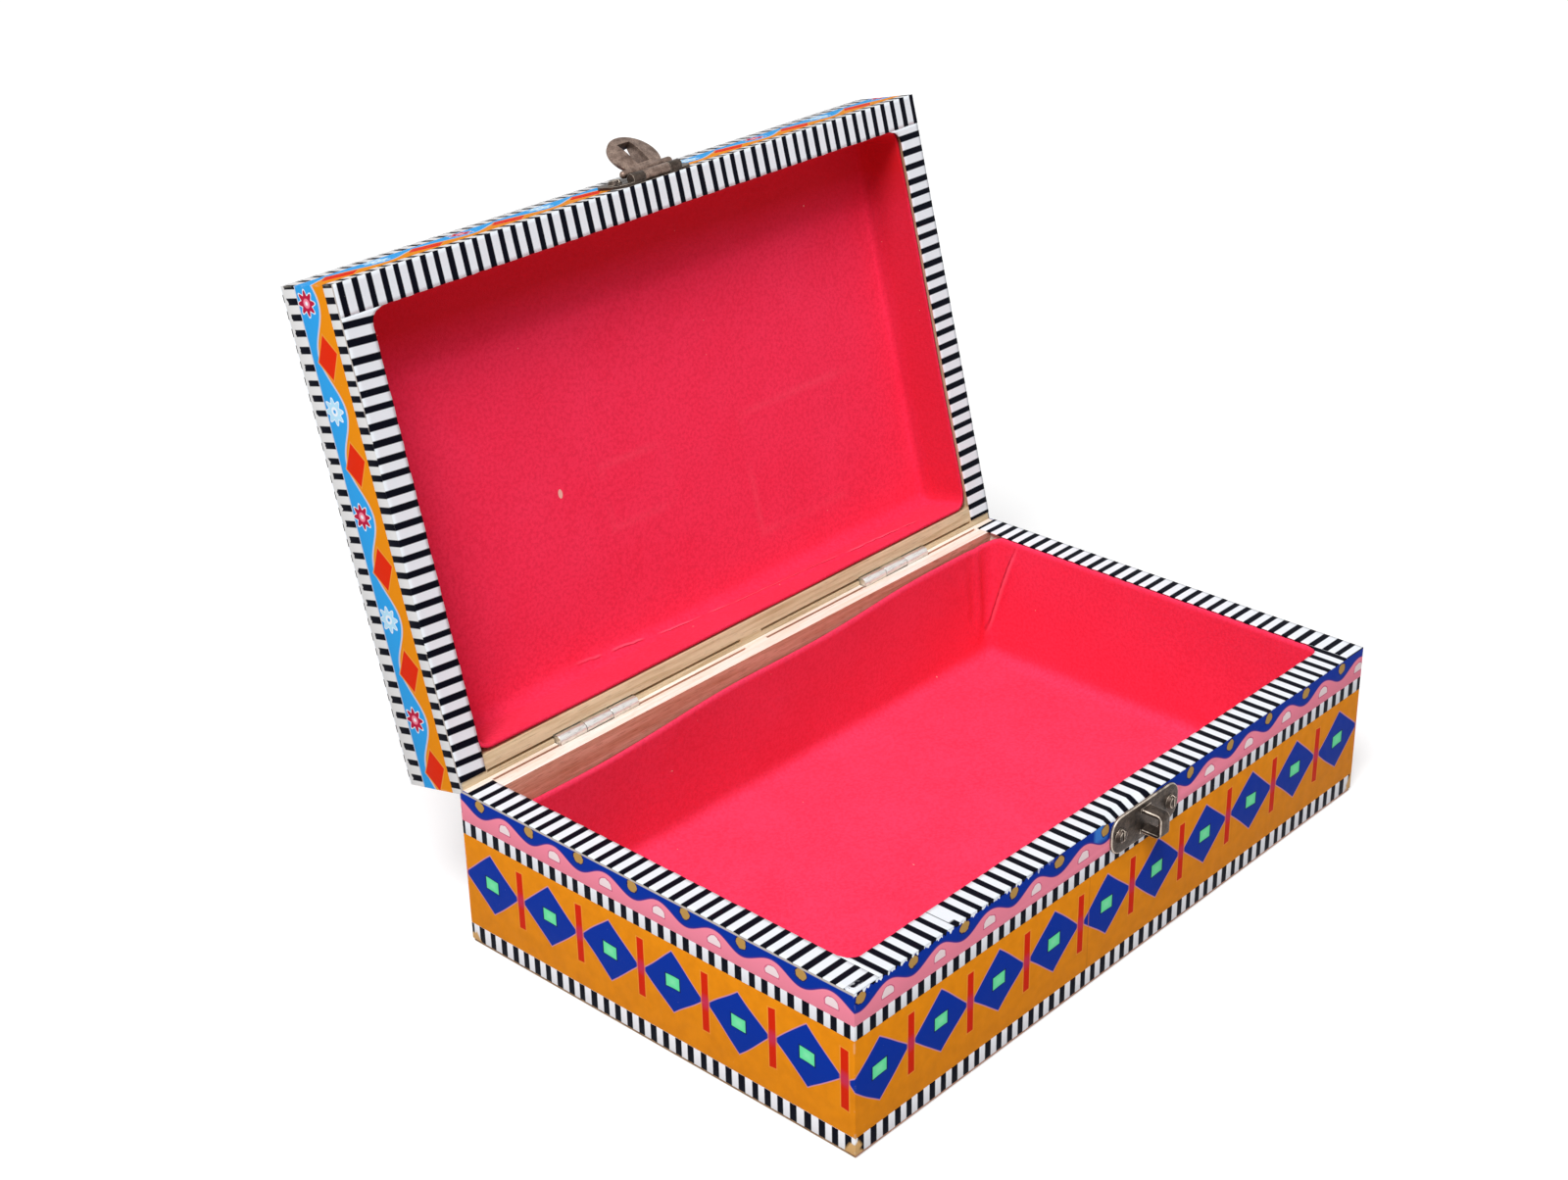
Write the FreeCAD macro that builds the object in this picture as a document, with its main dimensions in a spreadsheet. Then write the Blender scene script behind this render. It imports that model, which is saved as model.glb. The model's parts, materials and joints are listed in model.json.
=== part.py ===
import FreeCAD, Part
import os
import Sketcher

# A small wooden storage box with a hinged lid, shown open.
# Boards of wood are covered outside with printed paper strips, lined inside with red felt,
# edged with striped paper on three rims, hinged at the rear with two slot hinges
# and closed in front by a hasp that drops over a staple.
# Frame: origin at the middle of the underside, +X to the right, +Y to the rear, +Z up.
# Pieces of the lid are drawn with the lid shut and then turned open about the hinge axis.

# Driving dimensions, in millimetres and degrees
SIZES = [
    ("box_width", 203, "outside width, papers included"),
    ("box_depth", 126, "outside depth, papers included"),
    ("base_height", 44, "underside to the joint between base and lid"),
    ("lid_height", 21.4, "joint to the top of the shut lid"),
    ("wall", 6.5, "thickness of the side boards"),
    ("floor_panel", 3, "thickness of the bottom board"),
    ("lid_panel", 3, "thickness of the top board"),
    ("paper", 0.3, "thickness of every glued paper"),
    ("lining", 1.2, "thickness of the felt"),
    ("lining_corner", 4, "radius of the felt in the inside corners"),
    ("lining_drop_left", 7.5, "bare wood above the rear felt at the left end"),
    ("lining_drop_right", 1.5, "bare wood above the rear felt at the right end"),
    ("lid_lining_drop", 0.8, "bare wood below the rear felt of the lid"),
    ("rim_gap", 0.4, "air between the rim strips when shut"),
    ("bare_edge", 0.8, "bare edge of the bottom board below the papers"),
    ("lower_dash", 4.6, "height of the dashed strip at the bottom"),
    ("upper_dash", 3.8, "height of the dashed strip under the waves"),
    ("wave_band", 8.4, "height of the wave strip"),
    ("lid_rim_dash", 4.0, "height of the dashed strip at the rim of the lid"),
    ("lid_top_dash", 5.2, "height of the dashed strip at the top of the lid"),
    ("open_angle", 104, "how far the lid opens"),
    ("stop_slack", 0.4, "angle left between the chamfers that stop the lid"),
    ("hinge_inset", 1.4, "hinge axis inside the rear face"),
    ("hinge_end", 44, "middle of a hinge from the end of the box"),
    ("hinge_length", 27, "length of a hinge"),
    ("knuckle_radius", 1.6, "outside radius of the hinge barrel"),
    ("knuckle_gap", 0.2, "air between neighbouring knuckles"),
    ("hinge_pin_radius", 0.7, "radius of the hinge pin"),
    ("pin_clearance", 0.05, "radial play of a turning knuckle on its pin"),
    ("leaf", 0.8, "thickness of a hinge leaf"),
    ("leaf_depth", 9, "reach of a leaf into its board"),
    ("kerf_end", 8.5, "saw kerf from the end of the box"),
    ("kerf_middle", 8, "wood left between the two saw kerfs"),
    ("kerf_clearance", 1.5, "saw kerf deeper than the leaf"),
    ("notch_clearance", 0.3, "air round the hinge barrel in its notch"),
    ("scoop_radius", 43, "radius of the hollow worn in the front edge behind the catch"),
    ("scoop_depth", 1.4, "depth of that hollow in the middle"),
    ("scoop_slope", 30, "slope of that hollow, from level"),
    ("scoop_shift", 5.5, "middle of that hollow to the left of the latch"),
    ("latch_offset", 2.5, "middle of the latch from the middle of the box"),
    ("latch_width", 27, "width of the two latch plates"),
    ("latch_plate", 0.8, "thickness of the two latch plates"),
    ("catch_height", 10, "height of the catch plate"),
    ("hasp_plate_height", 11, "height of the hasp plate"),
    ("hasp_plate_rise", 0.3, "hasp plate above the rim of the lid"),
    ("plate_corner", 4, "corner radius of the latch plates"),
    ("hasp_axis_rise", 1.9, "hasp pin above the joint"),
    ("hasp_knuckle_radius", 1.4, "outside radius of the hasp barrel"),
    ("hasp_face_gap", 0.1, "air between the hasp barrel and the lid"),
    ("hasp_pin_radius", 0.6, "radius of the hasp pin"),
    ("hasp_barrel", 17, "length of the hasp barrel"),
    ("hasp_knuckle", 8.6, "length of the middle knuckle, on the hasp"),
    ("hasp_thickness", 0.9, "thickness of the hasp at its rim"),
    ("hasp_radius", 7.2, "radius of the round tab"),
    ("hasp_drop", 7.8, "pin to the middle of the tab"),
    ("hasp_boss_radius", 6.4, "radius of the two domed faces of the tab"),
    ("hasp_boss", 2.8, "rise of the domed outer face"),
    ("hasp_back", 0.8, "rise of the domed inner face"),
    ("hasp_bar_radius", 1, "radius of the round bar across the hasp"),
    ("hasp_bar_drop", 3, "pin to that bar"),
    ("hasp_bar_length", 16, "length of that bar, without its round ends"),
    ("hasp_neck", 3.5, "reach of the straight neck below the pin"),
    ("hasp_angle", 140, "how far the hasp lies back from shut"),
    ("staple_width", 3.7, "width of the staple"),
    ("staple_height", 6.4, "height of the staple"),
    ("staple_reach", 6.5, "staple out from the front face"),
    ("staple_strap", 0.9, "thickness of the bent strap"),
    ("staple_bend", 1.5, "outside radius of the strap's bends"),
    ("slot_clearance", 0.3, "air between the hasp slot and the staple"),
    ("screw_edge", 3.3, "screw from the end of its plate"),
    ("screw_radius", 0.8, "radius of a screw shank"),
    ("screw_length", 5.5, "shank under the head"),
    ("screw_head_radius", 2, "radius of a screw head"),
    ("screw_head_height", 1.1, "height of a screw head"),
    ("screw_slot", 0.6, "width and depth of the driver slot"),
    ("brad_radius", 0.6, "radius of a brad"),
    ("brad_length", 10, "length of a brad"),
    ("brad_head_radius", 1.1, "radius of a brad head"),
    ("brad_head", 0.6, "height of a brad head"),
]

# Places worked out from the driving dimensions, as expressions
HALF_WIDTH = "(Sizes.box_width / 2)"
HALF_DEPTH = "(Sizes.box_depth / 2)"
WOOD_X = "(Sizes.box_width / 2 - Sizes.paper)"
WOOD_Y = "(Sizes.box_depth / 2 - Sizes.paper)"
INNER_X = "(Sizes.box_width / 2 - Sizes.paper - Sizes.wall)"
INNER_Y = "(Sizes.box_depth / 2 - Sizes.paper - Sizes.wall)"
FELT_X = "(Sizes.box_width / 2 - Sizes.paper - Sizes.wall - Sizes.lining)"
FELT_Y = "(Sizes.box_depth / 2 - Sizes.paper - Sizes.wall - Sizes.lining)"
JOINT = "Sizes.base_height"
BASE_RIM = "(Sizes.base_height - Sizes.rim_gap / 2 - Sizes.paper)"
LID_RIM = "(Sizes.base_height + Sizes.rim_gap / 2 + Sizes.paper)"
LID_TOP = "(Sizes.base_height + Sizes.lid_height - Sizes.paper)"
LID_CEILING = "(Sizes.base_height + Sizes.lid_height - Sizes.paper - Sizes.lid_panel)"
HINGE_X = "(Sizes.box_width / 2 - Sizes.hinge_end)"
HINGE_Y = "(Sizes.box_depth / 2 - Sizes.hinge_inset)"
LEAF_Y = (f"({HINGE_Y} - Sizes.knuckle_radius)", f"({HINGE_Y} - Sizes.knuckle_radius + Sizes.leaf)")
CHAMFER = "((Sizes.open_angle + Sizes.stop_slack) / 2)"
FRONT = "(-Sizes.box_depth / 2)"
LATCH_X = "Sizes.latch_offset"
PLATE_FACE = f"({FRONT} - Sizes.latch_plate)"
HASP_STANDOFF = "(Sizes.hasp_knuckle_radius + Sizes.hasp_face_gap)"
HASP_Y = f"({FRONT} - {HASP_STANDOFF})"
HASP_Z = f"({JOINT} + Sizes.hasp_axis_rise)"
STAPLE_Z = f"({HASP_Z} - Sizes.hasp_drop)"
HASP_PLATE_LOW = f"({LID_RIM} + Sizes.hasp_plate_rise)"
NO_TURN = "rotation(vector(0; 0; 1); 0)"
OPEN_LID = (
    "placement(vector(0; 0; 0); rotation(vector(1; 0; 0); -Sizes.open_angle);"
    f" vector(0; {HINGE_Y}; {JOINT}))"
)
RAISED_HASP = (
    f"{OPEN_LID} * placement(vector(0; 0; 0); rotation(vector(1; 0; 0); -Sizes.hasp_angle);"
    f" vector(0; {HASP_Y}; {HASP_Z}))"
)

# How far a cutting tool runs past the piece that it cuts, in millimetres
OVERRUN = 3
# Straight edge left between two rounded corners of a latch plate, in millimetres
PLATE_STRAIGHT = 0.4
# How far the hollow's tool reaches to either side of the edge, in millimetres
SCOOP_REACH = 9
# Two places nearer than this are the same place, in millimetres
SAME = 1e-6

doc = FreeCAD.newDocument("storage_box")
sheet = doc.addObject("Spreadsheet::Sheet", "Sizes")
for row, (alias, value, note) in enumerate(SIZES, start=1):
    sheet.set(f"A{row}", alias)
    sheet.set(f"B{row}", str(value))
    sheet.set(f"C{row}", note)
    sheet.setAlias(f"B{row}", alias)
doc.recompute()

pieces = []


# Helpers for solids and their places

def keep(solid, label, place=None):
    """Name a finished piece, and turn a piece of the lid or the hasp to where it rests."""
    solid.Label = label
    if place:
        solid.setExpression("Placement", place)
    pieces.append(solid)
    return solid


def block(name, x, y, z):
    """A box between pairs of lowest and highest places along X, Y and Z."""
    solid = doc.addObject("Part::Box", name)
    solid.setExpression("Length", f"({x[1]}) - ({x[0]})")
    solid.setExpression("Width", f"({y[1]}) - ({y[0]})")
    solid.setExpression("Height", f"({z[1]}) - ({z[0]})")
    solid.setExpression("Placement", f"placement(vector({x[0]}; {y[0]}; {z[0]}); {NO_TURN})")
    return solid


def turned_block(name, length, width, height, place):
    """A box of three sizes from its own corner, set at a placement."""
    solid = doc.addObject("Part::Box", name)
    solid.setExpression("Length", length)
    solid.setExpression("Width", width)
    solid.setExpression("Height", height)
    solid.setExpression("Placement", place)
    return solid


def rod(name, axis, radius, low, high, across):
    """A cylinder along an axis from low to high, with its other two places in across."""
    solid = doc.addObject("Part::Cylinder", name)
    solid.setExpression("Radius", radius)
    solid.setExpression("Height", f"({high}) - ({low})")
    turns = {
        "x": "rotation(vector(0; 1; 0); 90)",
        "y": "rotation(vector(1; 0; 0); -90)",
        "z": NO_TURN,
    }
    starts = {
        "x": (low, across[0], across[1]),
        "y": (across[0], low, across[1]),
        "z": (across[0], across[1], low),
    }
    start = "; ".join(starts[axis])
    solid.setExpression("Placement", f"placement(vector({start}); {turns[axis]})")
    return solid


def ball(name, radius, place):
    """A sphere about a place, with its poles along X."""
    solid = doc.addObject("Part::Sphere", name)
    solid.setExpression("Radius", radius)
    poles = "rotation(vector(0; 1; 0); 90)"
    solid.setExpression("Placement", f"placement(vector({'; '.join(place)}); {poles})")
    return solid


def fuse(name, parts):
    """One solid from touching parts, or one group from parts that stand apart."""
    solid = doc.addObject("Part::MultiFuse", name)
    solid.Shapes = parts
    return solid


def cut(name, base, tools):
    """The base without its tools."""
    solid = doc.addObject("Part::Cut", name)
    solid.Base = base
    solid.Tool = tools[0] if len(tools) == 1 else fuse(f"{name}_tools", tools)
    return solid


def span(middle, half):
    """The two places at half a length on either side of a middle."""
    return f"({middle} - ({half}))", f"({middle} + ({half}))"


def origin_plane(body, role):
    return next(plane for plane in body.Origin.OriginFeatures if plane.Role == role)


def rectangle(body, name, role, size, place):
    """A sketched rectangle about the middle of its own plane, moved by an offset."""
    sketch = body.newObject("Sketcher::SketchObject", name)
    sketch.AttachmentSupport = [(origin_plane(body, role), "")]
    sketch.MapMode = "FlatFace"
    for letter, expression in zip("xyz", place):
        sketch.setExpression(f"AttachmentOffset.Base.{letter}", expression)
    corners = [(-1, -1), (1, -1), (1, 1), (-1, 1)]
    points = [FreeCAD.Vector(x, y, 0) for x, y in corners]
    for side in range(4):
        sketch.addGeometry(Part.LineSegment(points[side], points[(side + 1) % 4]), False)
    for side in range(4):
        sketch.addConstraint(Sketcher.Constraint("Coincident", side, 2, (side + 1) % 4, 1))
        direction = "Vertical" if side % 2 else "Horizontal"
        sketch.addConstraint(Sketcher.Constraint(direction, side))
    sketch.addConstraint(Sketcher.Constraint("Symmetric", 0, 1, 2, 1, -1, 1))
    for label, side, expression in (("wide", 0, size[0]), ("high", 1, size[1])):
        number = sketch.addConstraint(Sketcher.Constraint("Distance", side, 2))
        sketch.renameConstraint(number, label)
        sketch.setExpression(f"Constraints.{label}", expression)
    return sketch


def rounded(body, feature, name, radius, wanted):
    """Round the edges of a feature that a test picks out."""
    doc.recompute()
    names = [f"Edge{n}" for n, edge in enumerate(feature.Shape.Edges, start=1) if wanted(edge)]
    fillet = body.newObject("PartDesign::Fillet", name)
    fillet.Base = (feature, names)
    fillet.setExpression("Radius", radius)
    return fillet


def size_of(alias):
    return float(getattr(sheet, alias))


def close(first, second):
    return abs(first - second) < SAME


# Screws and brads, which also cut their own holes

def screw(name, x, z):
    """A slotted screw in a plate on the front face, pointing to the rear."""
    shank = rod(f"{name}_shank", "y", "Sizes.screw_radius",
                PLATE_FACE, f"{PLATE_FACE} + Sizes.screw_length", (x, z))
    head = doc.addObject("Part::Cone", f"{name}_head")
    head.setExpression("Radius1", "Sizes.screw_head_radius")
    head.setExpression("Radius2", "Sizes.screw_head_radius - Sizes.screw_slot")
    head.setExpression("Height", "Sizes.screw_head_height")
    forwards = "rotation(vector(1; 0; 0); 90)"
    head.setExpression("Placement", f"placement(vector({x}; {PLATE_FACE}; {z}); {forwards})")
    head_top = f"({PLATE_FACE} - Sizes.screw_head_height)"
    slot = block(f"{name}_slot", span(x, "Sizes.screw_slot / 2"),
                 (head_top, f"{head_top} + Sizes.screw_slot"), span(z, "Sizes.screw_head_radius"))
    return cut(name, fuse(f"{name}_blank", [shank, head]), [slot])


def screw_pair(label, z):
    """Two screws near the ends of a latch plate."""
    half = "(Sizes.latch_width / 2 - Sizes.screw_edge)"
    left = screw(f"{label}_left", f"({LATCH_X} - {half})", z)
    right = screw(f"{label}_right", f"({LATCH_X} + {half})", z)
    return fuse(label, [left, right])


def brad(name, axis, start, sign, across):
    """A brad with a flush head at start, driven along an axis in the direction of sign."""
    ends = {1: (start, f"{start} + Sizes.brad_length"), -1: (f"{start} - Sizes.brad_length", start)}
    heads = {1: (start, f"{start} + Sizes.brad_head"), -1: (f"{start} - Sizes.brad_head", start)}
    shank = rod(f"{name}_shank", axis, "Sizes.brad_radius", *ends[sign], across)
    head = rod(f"{name}_head", axis, "Sizes.brad_head_radius", *heads[sign], across)
    return fuse(name, [shank, head])


def panel_brads(label, start, sign):
    """Brads that hold a bottom or top board to the four walls, two in each wall."""
    wall_x = f"({WOOD_X} - Sizes.wall / 2)"
    wall_y = f"({WOOD_Y} - Sizes.wall / 2)"
    places = []
    for side in ("-", ""):
        for half in ("-", ""):
            places.append((f"{half}{HINGE_X} / 2", f"{side}{wall_y}"))
            places.append((f"{side}{wall_x}", f"{half}Sizes.box_depth / 4"))
    return fuse(label, [brad(f"{label}_{n}", "z", start, sign, place) for n, place in enumerate(places)])


def corner_brads(label, heights):
    """Brads through the front and rear boards into the ends of the side boards."""
    brads = []
    for x in (f"(-{WOOD_X} + Sizes.wall / 2)", f"({WOOD_X} - Sizes.wall / 2)"):
        for start, sign in ((f"(-{WOOD_Y})", 1), (WOOD_Y, -1)):
            for height in heights:
                brads.append(brad(f"{label}_{len(brads)}", "y", start, sign, (x, height)))
    return fuse(label, brads)


BASE_WALL_HEIGHT = f"({BASE_RIM} - Sizes.floor_panel)"
LID_WALL_HEIGHT = f"({LID_CEILING} - {LID_RIM})"
base_floor_brads = keep(panel_brads("base_floor_brads", "0", 1), "base_floor_brads")
base_corner_brads = keep(
    corner_brads("base_corner_brads", [
        f"(Sizes.floor_panel + {BASE_WALL_HEIGHT} / 3)",
        f"(Sizes.floor_panel + {BASE_WALL_HEIGHT} * 2 / 3)",
    ]),
    "base_corner_brads")
lid_panel_brads = panel_brads("shut_lid_panel_brads", LID_TOP, -1)
lid_corner_brads = corner_brads("shut_lid_corner_brads", [f"({LID_RIM} + {LID_WALL_HEIGHT} / 2)"])
catch_screws = keep(screw_pair("catch_screws", STAPLE_Z), "catch_screws")
HASP_SCREW_Z = f"({HASP_PLATE_LOW} + Sizes.hasp_plate_height / 2)"
hasp_plate_screws = screw_pair("shut_hasp_plate_screws", HASP_SCREW_Z)


# Hinges: a pin, a leaf in the base and a leaf in the lid

def hinge(side, middle):
    """One slot hinge, whose leaves stand in saw kerfs on the front side of the barrel."""
    ends = span(middle, "Sizes.hinge_length / 2")
    inner = span(middle, "Sizes.hinge_length / 3 / 2")
    half_gap = "Sizes.knuckle_gap / 2"
    middle_knuckle = (f"{inner[0]} + {half_gap}", f"{inner[1]} - {half_gap}")
    outer_knuckles = [(ends[0], f"{inner[0]} - {half_gap}"), (f"{inner[1]} + {half_gap}", ends[1])]
    middle_room = (f"{inner[0]} - {half_gap}", f"{inner[1]} + {half_gap}")
    outer_room = [(ends[0], middle_knuckle[0]), (middle_knuckle[1], ends[1])]
    axis = (HINGE_Y, JOINT)
    room = "Sizes.knuckle_radius + Sizes.knuckle_gap"

    def leaf(name, height, rooms, knuckles, bore):
        plate = block(f"{name}_plate", ends, LEAF_Y, height)
        cleared = cut(f"{name}_cleared", plate, [
            rod(f"{name}_room_{n}", "x", room, *across, axis) for n, across in enumerate(rooms)])
        barrel = [rod(f"{name}_knuckle_{n}", "x", "Sizes.knuckle_radius", *across, axis)
                  for n, across in enumerate(knuckles)]
        joined = fuse(f"{name}_joined", [cleared] + barrel)
        return cut(name, joined, [rod(f"{name}_bore", "x", bore, *ends, axis)])

    base_leaf = leaf(f"{side}_hinge_base_leaf", (f"{JOINT} - Sizes.leaf_depth", JOINT),
                     [middle_room], outer_knuckles, "Sizes.hinge_pin_radius")
    lid_leaf = leaf(f"{side}_hinge_lid_leaf", (JOINT, f"{JOINT} + Sizes.leaf_depth"),
                    outer_room, [middle_knuckle], "Sizes.hinge_pin_radius + Sizes.pin_clearance")
    pin = rod(f"{side}_hinge_pin", "x", "Sizes.hinge_pin_radius", *ends, axis)
    keep(base_leaf, f"{side}_hinge_base_leaf")
    keep(lid_leaf, f"{side}_hinge_lid_leaf", OPEN_LID)
    keep(pin, f"{side}_hinge_pin")


hinge("left", f"(-{HINGE_X})")
hinge("right", HINGE_X)


# Cuts in the rear boards for the hinges, and the chamfers that stop the lid

def barrel_notches(name):
    """Round room for the two hinge barrels."""
    half = "Sizes.hinge_length / 2 + Sizes.notch_clearance"
    radius = "Sizes.knuckle_radius + Sizes.notch_clearance"
    return [
        rod(f"{name}_{side}_notch", "x", radius, *span(f"({sign}{HINGE_X})", half), (HINGE_Y, JOINT))
        for side, sign in (("left", "-"), ("right", ""))
    ]


def hinge_cuts(name, kerf_height):
    """Two saw kerfs for the leaves and two notches for the barrels."""
    inner = "(Sizes.kerf_middle / 2)"
    outer = "(Sizes.box_width / 2 - Sizes.kerf_end)"
    left_kerf = block(f"{name}_left_kerf", (f"-{outer}", f"-{inner}"), LEAF_Y, kerf_height)
    right_kerf = block(f"{name}_right_kerf", (inner, outer), LEAF_Y, kerf_height)
    return [left_kerf, right_kerf] + barrel_notches(name)


def chamfer_tool(name, turn, lift):
    """A long block with one edge on the hinge axis, leaning by the chamfer's angle."""
    place = (
        f"placement(vector(-{HALF_WIDTH}; {HINGE_Y}; {JOINT}); rotation(vector(1; 0; 0); {turn}))"
        f" * placement(vector(0; 0; {lift}); {NO_TURN})"
    )
    reach = f"Sizes.hinge_inset + {OVERRUN}"
    return turned_block(name, "Sizes.box_width", reach, reach, place)


kerf_reach = "(Sizes.leaf_depth + Sizes.kerf_clearance)"
base_kerf = (f"{JOINT} - {kerf_reach}", f"{BASE_RIM} + {OVERRUN}")
lid_kerf = (f"{LID_RIM} - {OVERRUN}", f"{JOINT} + {kerf_reach}")
base_chamfer = chamfer_tool("base_chamfer", f"-{CHAMFER}", "0")
lid_chamfer = chamfer_tool("lid_chamfer", CHAMFER, f"-(Sizes.hinge_inset + {OVERRUN})")


# The hollow in the front edge of the base behind the catch

def scoop(name, radius):
    """A rod that leans over the front edge and dips into it by the hollow's depth."""
    rise = "(Sizes.scoop_radius - Sizes.scoop_depth)"
    edge_x = f"({LATCH_X} - Sizes.scoop_shift)"
    place = (
        f"placement(vector({edge_x}; -{WOOD_Y}; {BASE_RIM}); rotation(vector(1; 0; 0); Sizes.scoop_slope))"
        f" * placement(vector(0; -{SCOOP_REACH}; {rise}); rotation(vector(1; 0; 0); -90))"
    )
    solid = doc.addObject("Part::Cylinder", name)
    solid.setExpression("Radius", radius)
    solid.setExpression("Height", f"2 * {SCOOP_REACH}")
    solid.setExpression("Placement", place)
    return solid


scoop_tool = scoop("scoop_tool", "Sizes.scoop_radius")


# Boards of the base and of the lid

def boards(part, height, panel_height, brads, front_tools, rear_tools, place=None):
    """Front and rear boards over the full width, side boards between them, and a panel."""
    full_x = (f"-{WOOD_X}", WOOD_X)
    front_y = (f"-{WOOD_Y}", f"-{INNER_Y}")
    rear_y = (INNER_Y, WOOD_Y)
    between_y = (f"-{INNER_Y}", INNER_Y)
    panel_name = "floor_panel" if part == "base" else "top_panel"
    outlines = {
        "front_wall": (full_x, front_y, height, brads + front_tools),
        "back_wall": (full_x, rear_y, height, brads + rear_tools),
        "left_wall": ((f"-{WOOD_X}", f"-{INNER_X}"), between_y, height, brads),
        "right_wall": ((INNER_X, WOOD_X), between_y, height, brads),
        panel_name: (full_x, (f"-{WOOD_Y}", WOOD_Y), panel_height, brads),
    }
    for name, (x, y, z, tools) in outlines.items():
        label = f"{part}_{name}"
        blank = block(f"{label}_blank", x, y, z)
        keep(cut(label, blank, tools), label, place)


boards("base", ("Sizes.floor_panel", BASE_RIM), ("0", "Sizes.floor_panel"),
       [base_floor_brads, base_corner_brads], [catch_screws, scoop_tool],
       hinge_cuts("base", base_kerf) + [base_chamfer])
boards("lid", (LID_RIM, LID_CEILING), (LID_CEILING, LID_TOP),
       [lid_panel_brads, lid_corner_brads], [hasp_plate_screws],
       hinge_cuts("lid", lid_kerf) + [lid_chamfer], OPEN_LID)


# Felt linings: a tray pressed into the base and one pressed into the lid

def felt_tray(name, low, high, opens_up):
    """A tray of felt with rounded inside corners, open at the top or at the bottom."""
    body = doc.addObject("PartDesign::Body", f"{name}_felt")
    outer = rectangle(body, f"{name}_outer", "XY_Plane", (f"2 * {INNER_X}", f"2 * {INNER_Y}"),
                      ("0", "0", low))
    pad = body.newObject("PartDesign::Pad", f"{name}_pad")
    pad.Profile = outer
    pad.setExpression("Length", f"({high}) - ({low})")
    mouth = high if opens_up else low
    inner = rectangle(body, f"{name}_inner", "XY_Plane", (f"2 * {FELT_X}", f"2 * {FELT_Y}"),
                      ("0", "0", mouth))
    pocket = body.newObject("PartDesign::Pocket", f"{name}_pocket")
    pocket.Profile = inner
    pocket.Reversed = not opens_up
    pocket.setExpression("Length", f"({high}) - ({low}) - Sizes.lining")
    doc.recompute()
    felt_x = size_of("box_width") / 2 - size_of("paper") - size_of("wall") - size_of("lining")
    felt_y = size_of("box_depth") / 2 - size_of("paper") - size_of("wall") - size_of("lining")
    mouth_z = inner.AttachmentOffset.Base.z

    def inside_corner(edge):
        """True for the tray's inside edges, apart from those round its mouth."""
        points = [vertex.Point for vertex in edge.Vertexes]
        inside = all(abs(p.x) < felt_x + SAME and abs(p.y) < felt_y + SAME for p in points)
        return inside and not all(close(p.z, mouth_z) for p in points)

    rounded(body, pocket, f"{name}_corners", "Sizes.lining_corner", inside_corner)
    return body


slope = f"-atan((Sizes.lining_drop_left - Sizes.lining_drop_right) / (2 * {INNER_X}))"
base_bare_strip = turned_block(
    "base_bare_strip", f"2 * {INNER_X} + Sizes.lining_drop_left", "Sizes.lining",
    f"Sizes.lining_drop_left + {OVERRUN}",
    f"placement(vector(-{INNER_X}; {FELT_Y}; {BASE_RIM} - Sizes.lining_drop_left);"
    f" rotation(vector(0; 1; 0); {slope}))")
lid_bare_strip = block("lid_bare_strip", (f"-{INNER_X}", INNER_X), (FELT_Y, INNER_Y),
                       (f"{LID_RIM} - {OVERRUN}", f"{LID_RIM} + Sizes.lid_lining_drop"))
base_felt = felt_tray("base_lining", "Sizes.floor_panel", BASE_RIM, True)
lid_felt = felt_tray("lid_lining", LID_RIM, LID_CEILING, False)
keep(cut("base_lining", base_felt, [base_bare_strip]), "base_lining")
keep(cut("lid_lining", lid_felt, [lid_bare_strip]), "lid_lining", OPEN_LID)


# Printed paper strips that run round the four sides, and the sheet on the lid

def ring(label, low, high, tools, place=None):
    """A strip of paper round the four sides between two heights."""
    outside = block(f"{label}_outside", (f"-{HALF_WIDTH}", HALF_WIDTH),
                    (f"-{HALF_DEPTH}", HALF_DEPTH), (low, high))
    inside = block(f"{label}_inside", (f"-{WOOD_X}", WOOD_X), (f"-{WOOD_Y}", WOOD_Y),
                   (f"{low} - {OVERRUN}", f"{high} + {OVERRUN}"))
    keep(cut(label, outside, [inside] + tools), label, place)


DASH_TOP = "(Sizes.bare_edge + Sizes.lower_dash)"
WAVE_LOW = f"({BASE_RIM} - Sizes.wave_band)"
UPPER_DASH_LOW = f"({BASE_RIM} - Sizes.wave_band - Sizes.upper_dash)"
ring("base_lower_dash_strip", "Sizes.bare_edge", DASH_TOP, [catch_screws])
ring("base_diamond_strip", DASH_TOP, UPPER_DASH_LOW, [catch_screws])
ring("base_upper_dash_strip", UPPER_DASH_LOW, WAVE_LOW, [catch_screws])
paper_notches = barrel_notches("paper")
ring("base_wave_strip", WAVE_LOW, BASE_RIM, [catch_screws, scoop_tool, base_chamfer] + paper_notches)
LID_DASH_HIGH = f"({LID_RIM} + Sizes.lid_rim_dash)"
LID_DASH_LOW = f"({LID_TOP} - Sizes.lid_top_dash)"
ring("lid_rim_dash_strip", LID_RIM, LID_DASH_HIGH,
     [hasp_plate_screws, lid_chamfer] + paper_notches, OPEN_LID)
ring("lid_flower_strip", LID_DASH_HIGH, LID_DASH_LOW, [hasp_plate_screws], OPEN_LID)
ring("lid_top_dash_strip", LID_DASH_LOW, LID_TOP, [hasp_plate_screws], OPEN_LID)
lid_sheet = block("lid_top_sheet", (f"-{HALF_WIDTH}", HALF_WIDTH), (f"-{HALF_DEPTH}", HALF_DEPTH),
                  (LID_TOP, f"{LID_TOP} + Sizes.paper"))
keep(lid_sheet, "lid_top_sheet",
     f"{OPEN_LID} * placement(vector(-{HALF_WIDTH}; -{HALF_DEPTH}; {LID_TOP}); {NO_TURN})")


# Striped paper on the rims: the base's side strips and the lid's front strip take the corners

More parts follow.
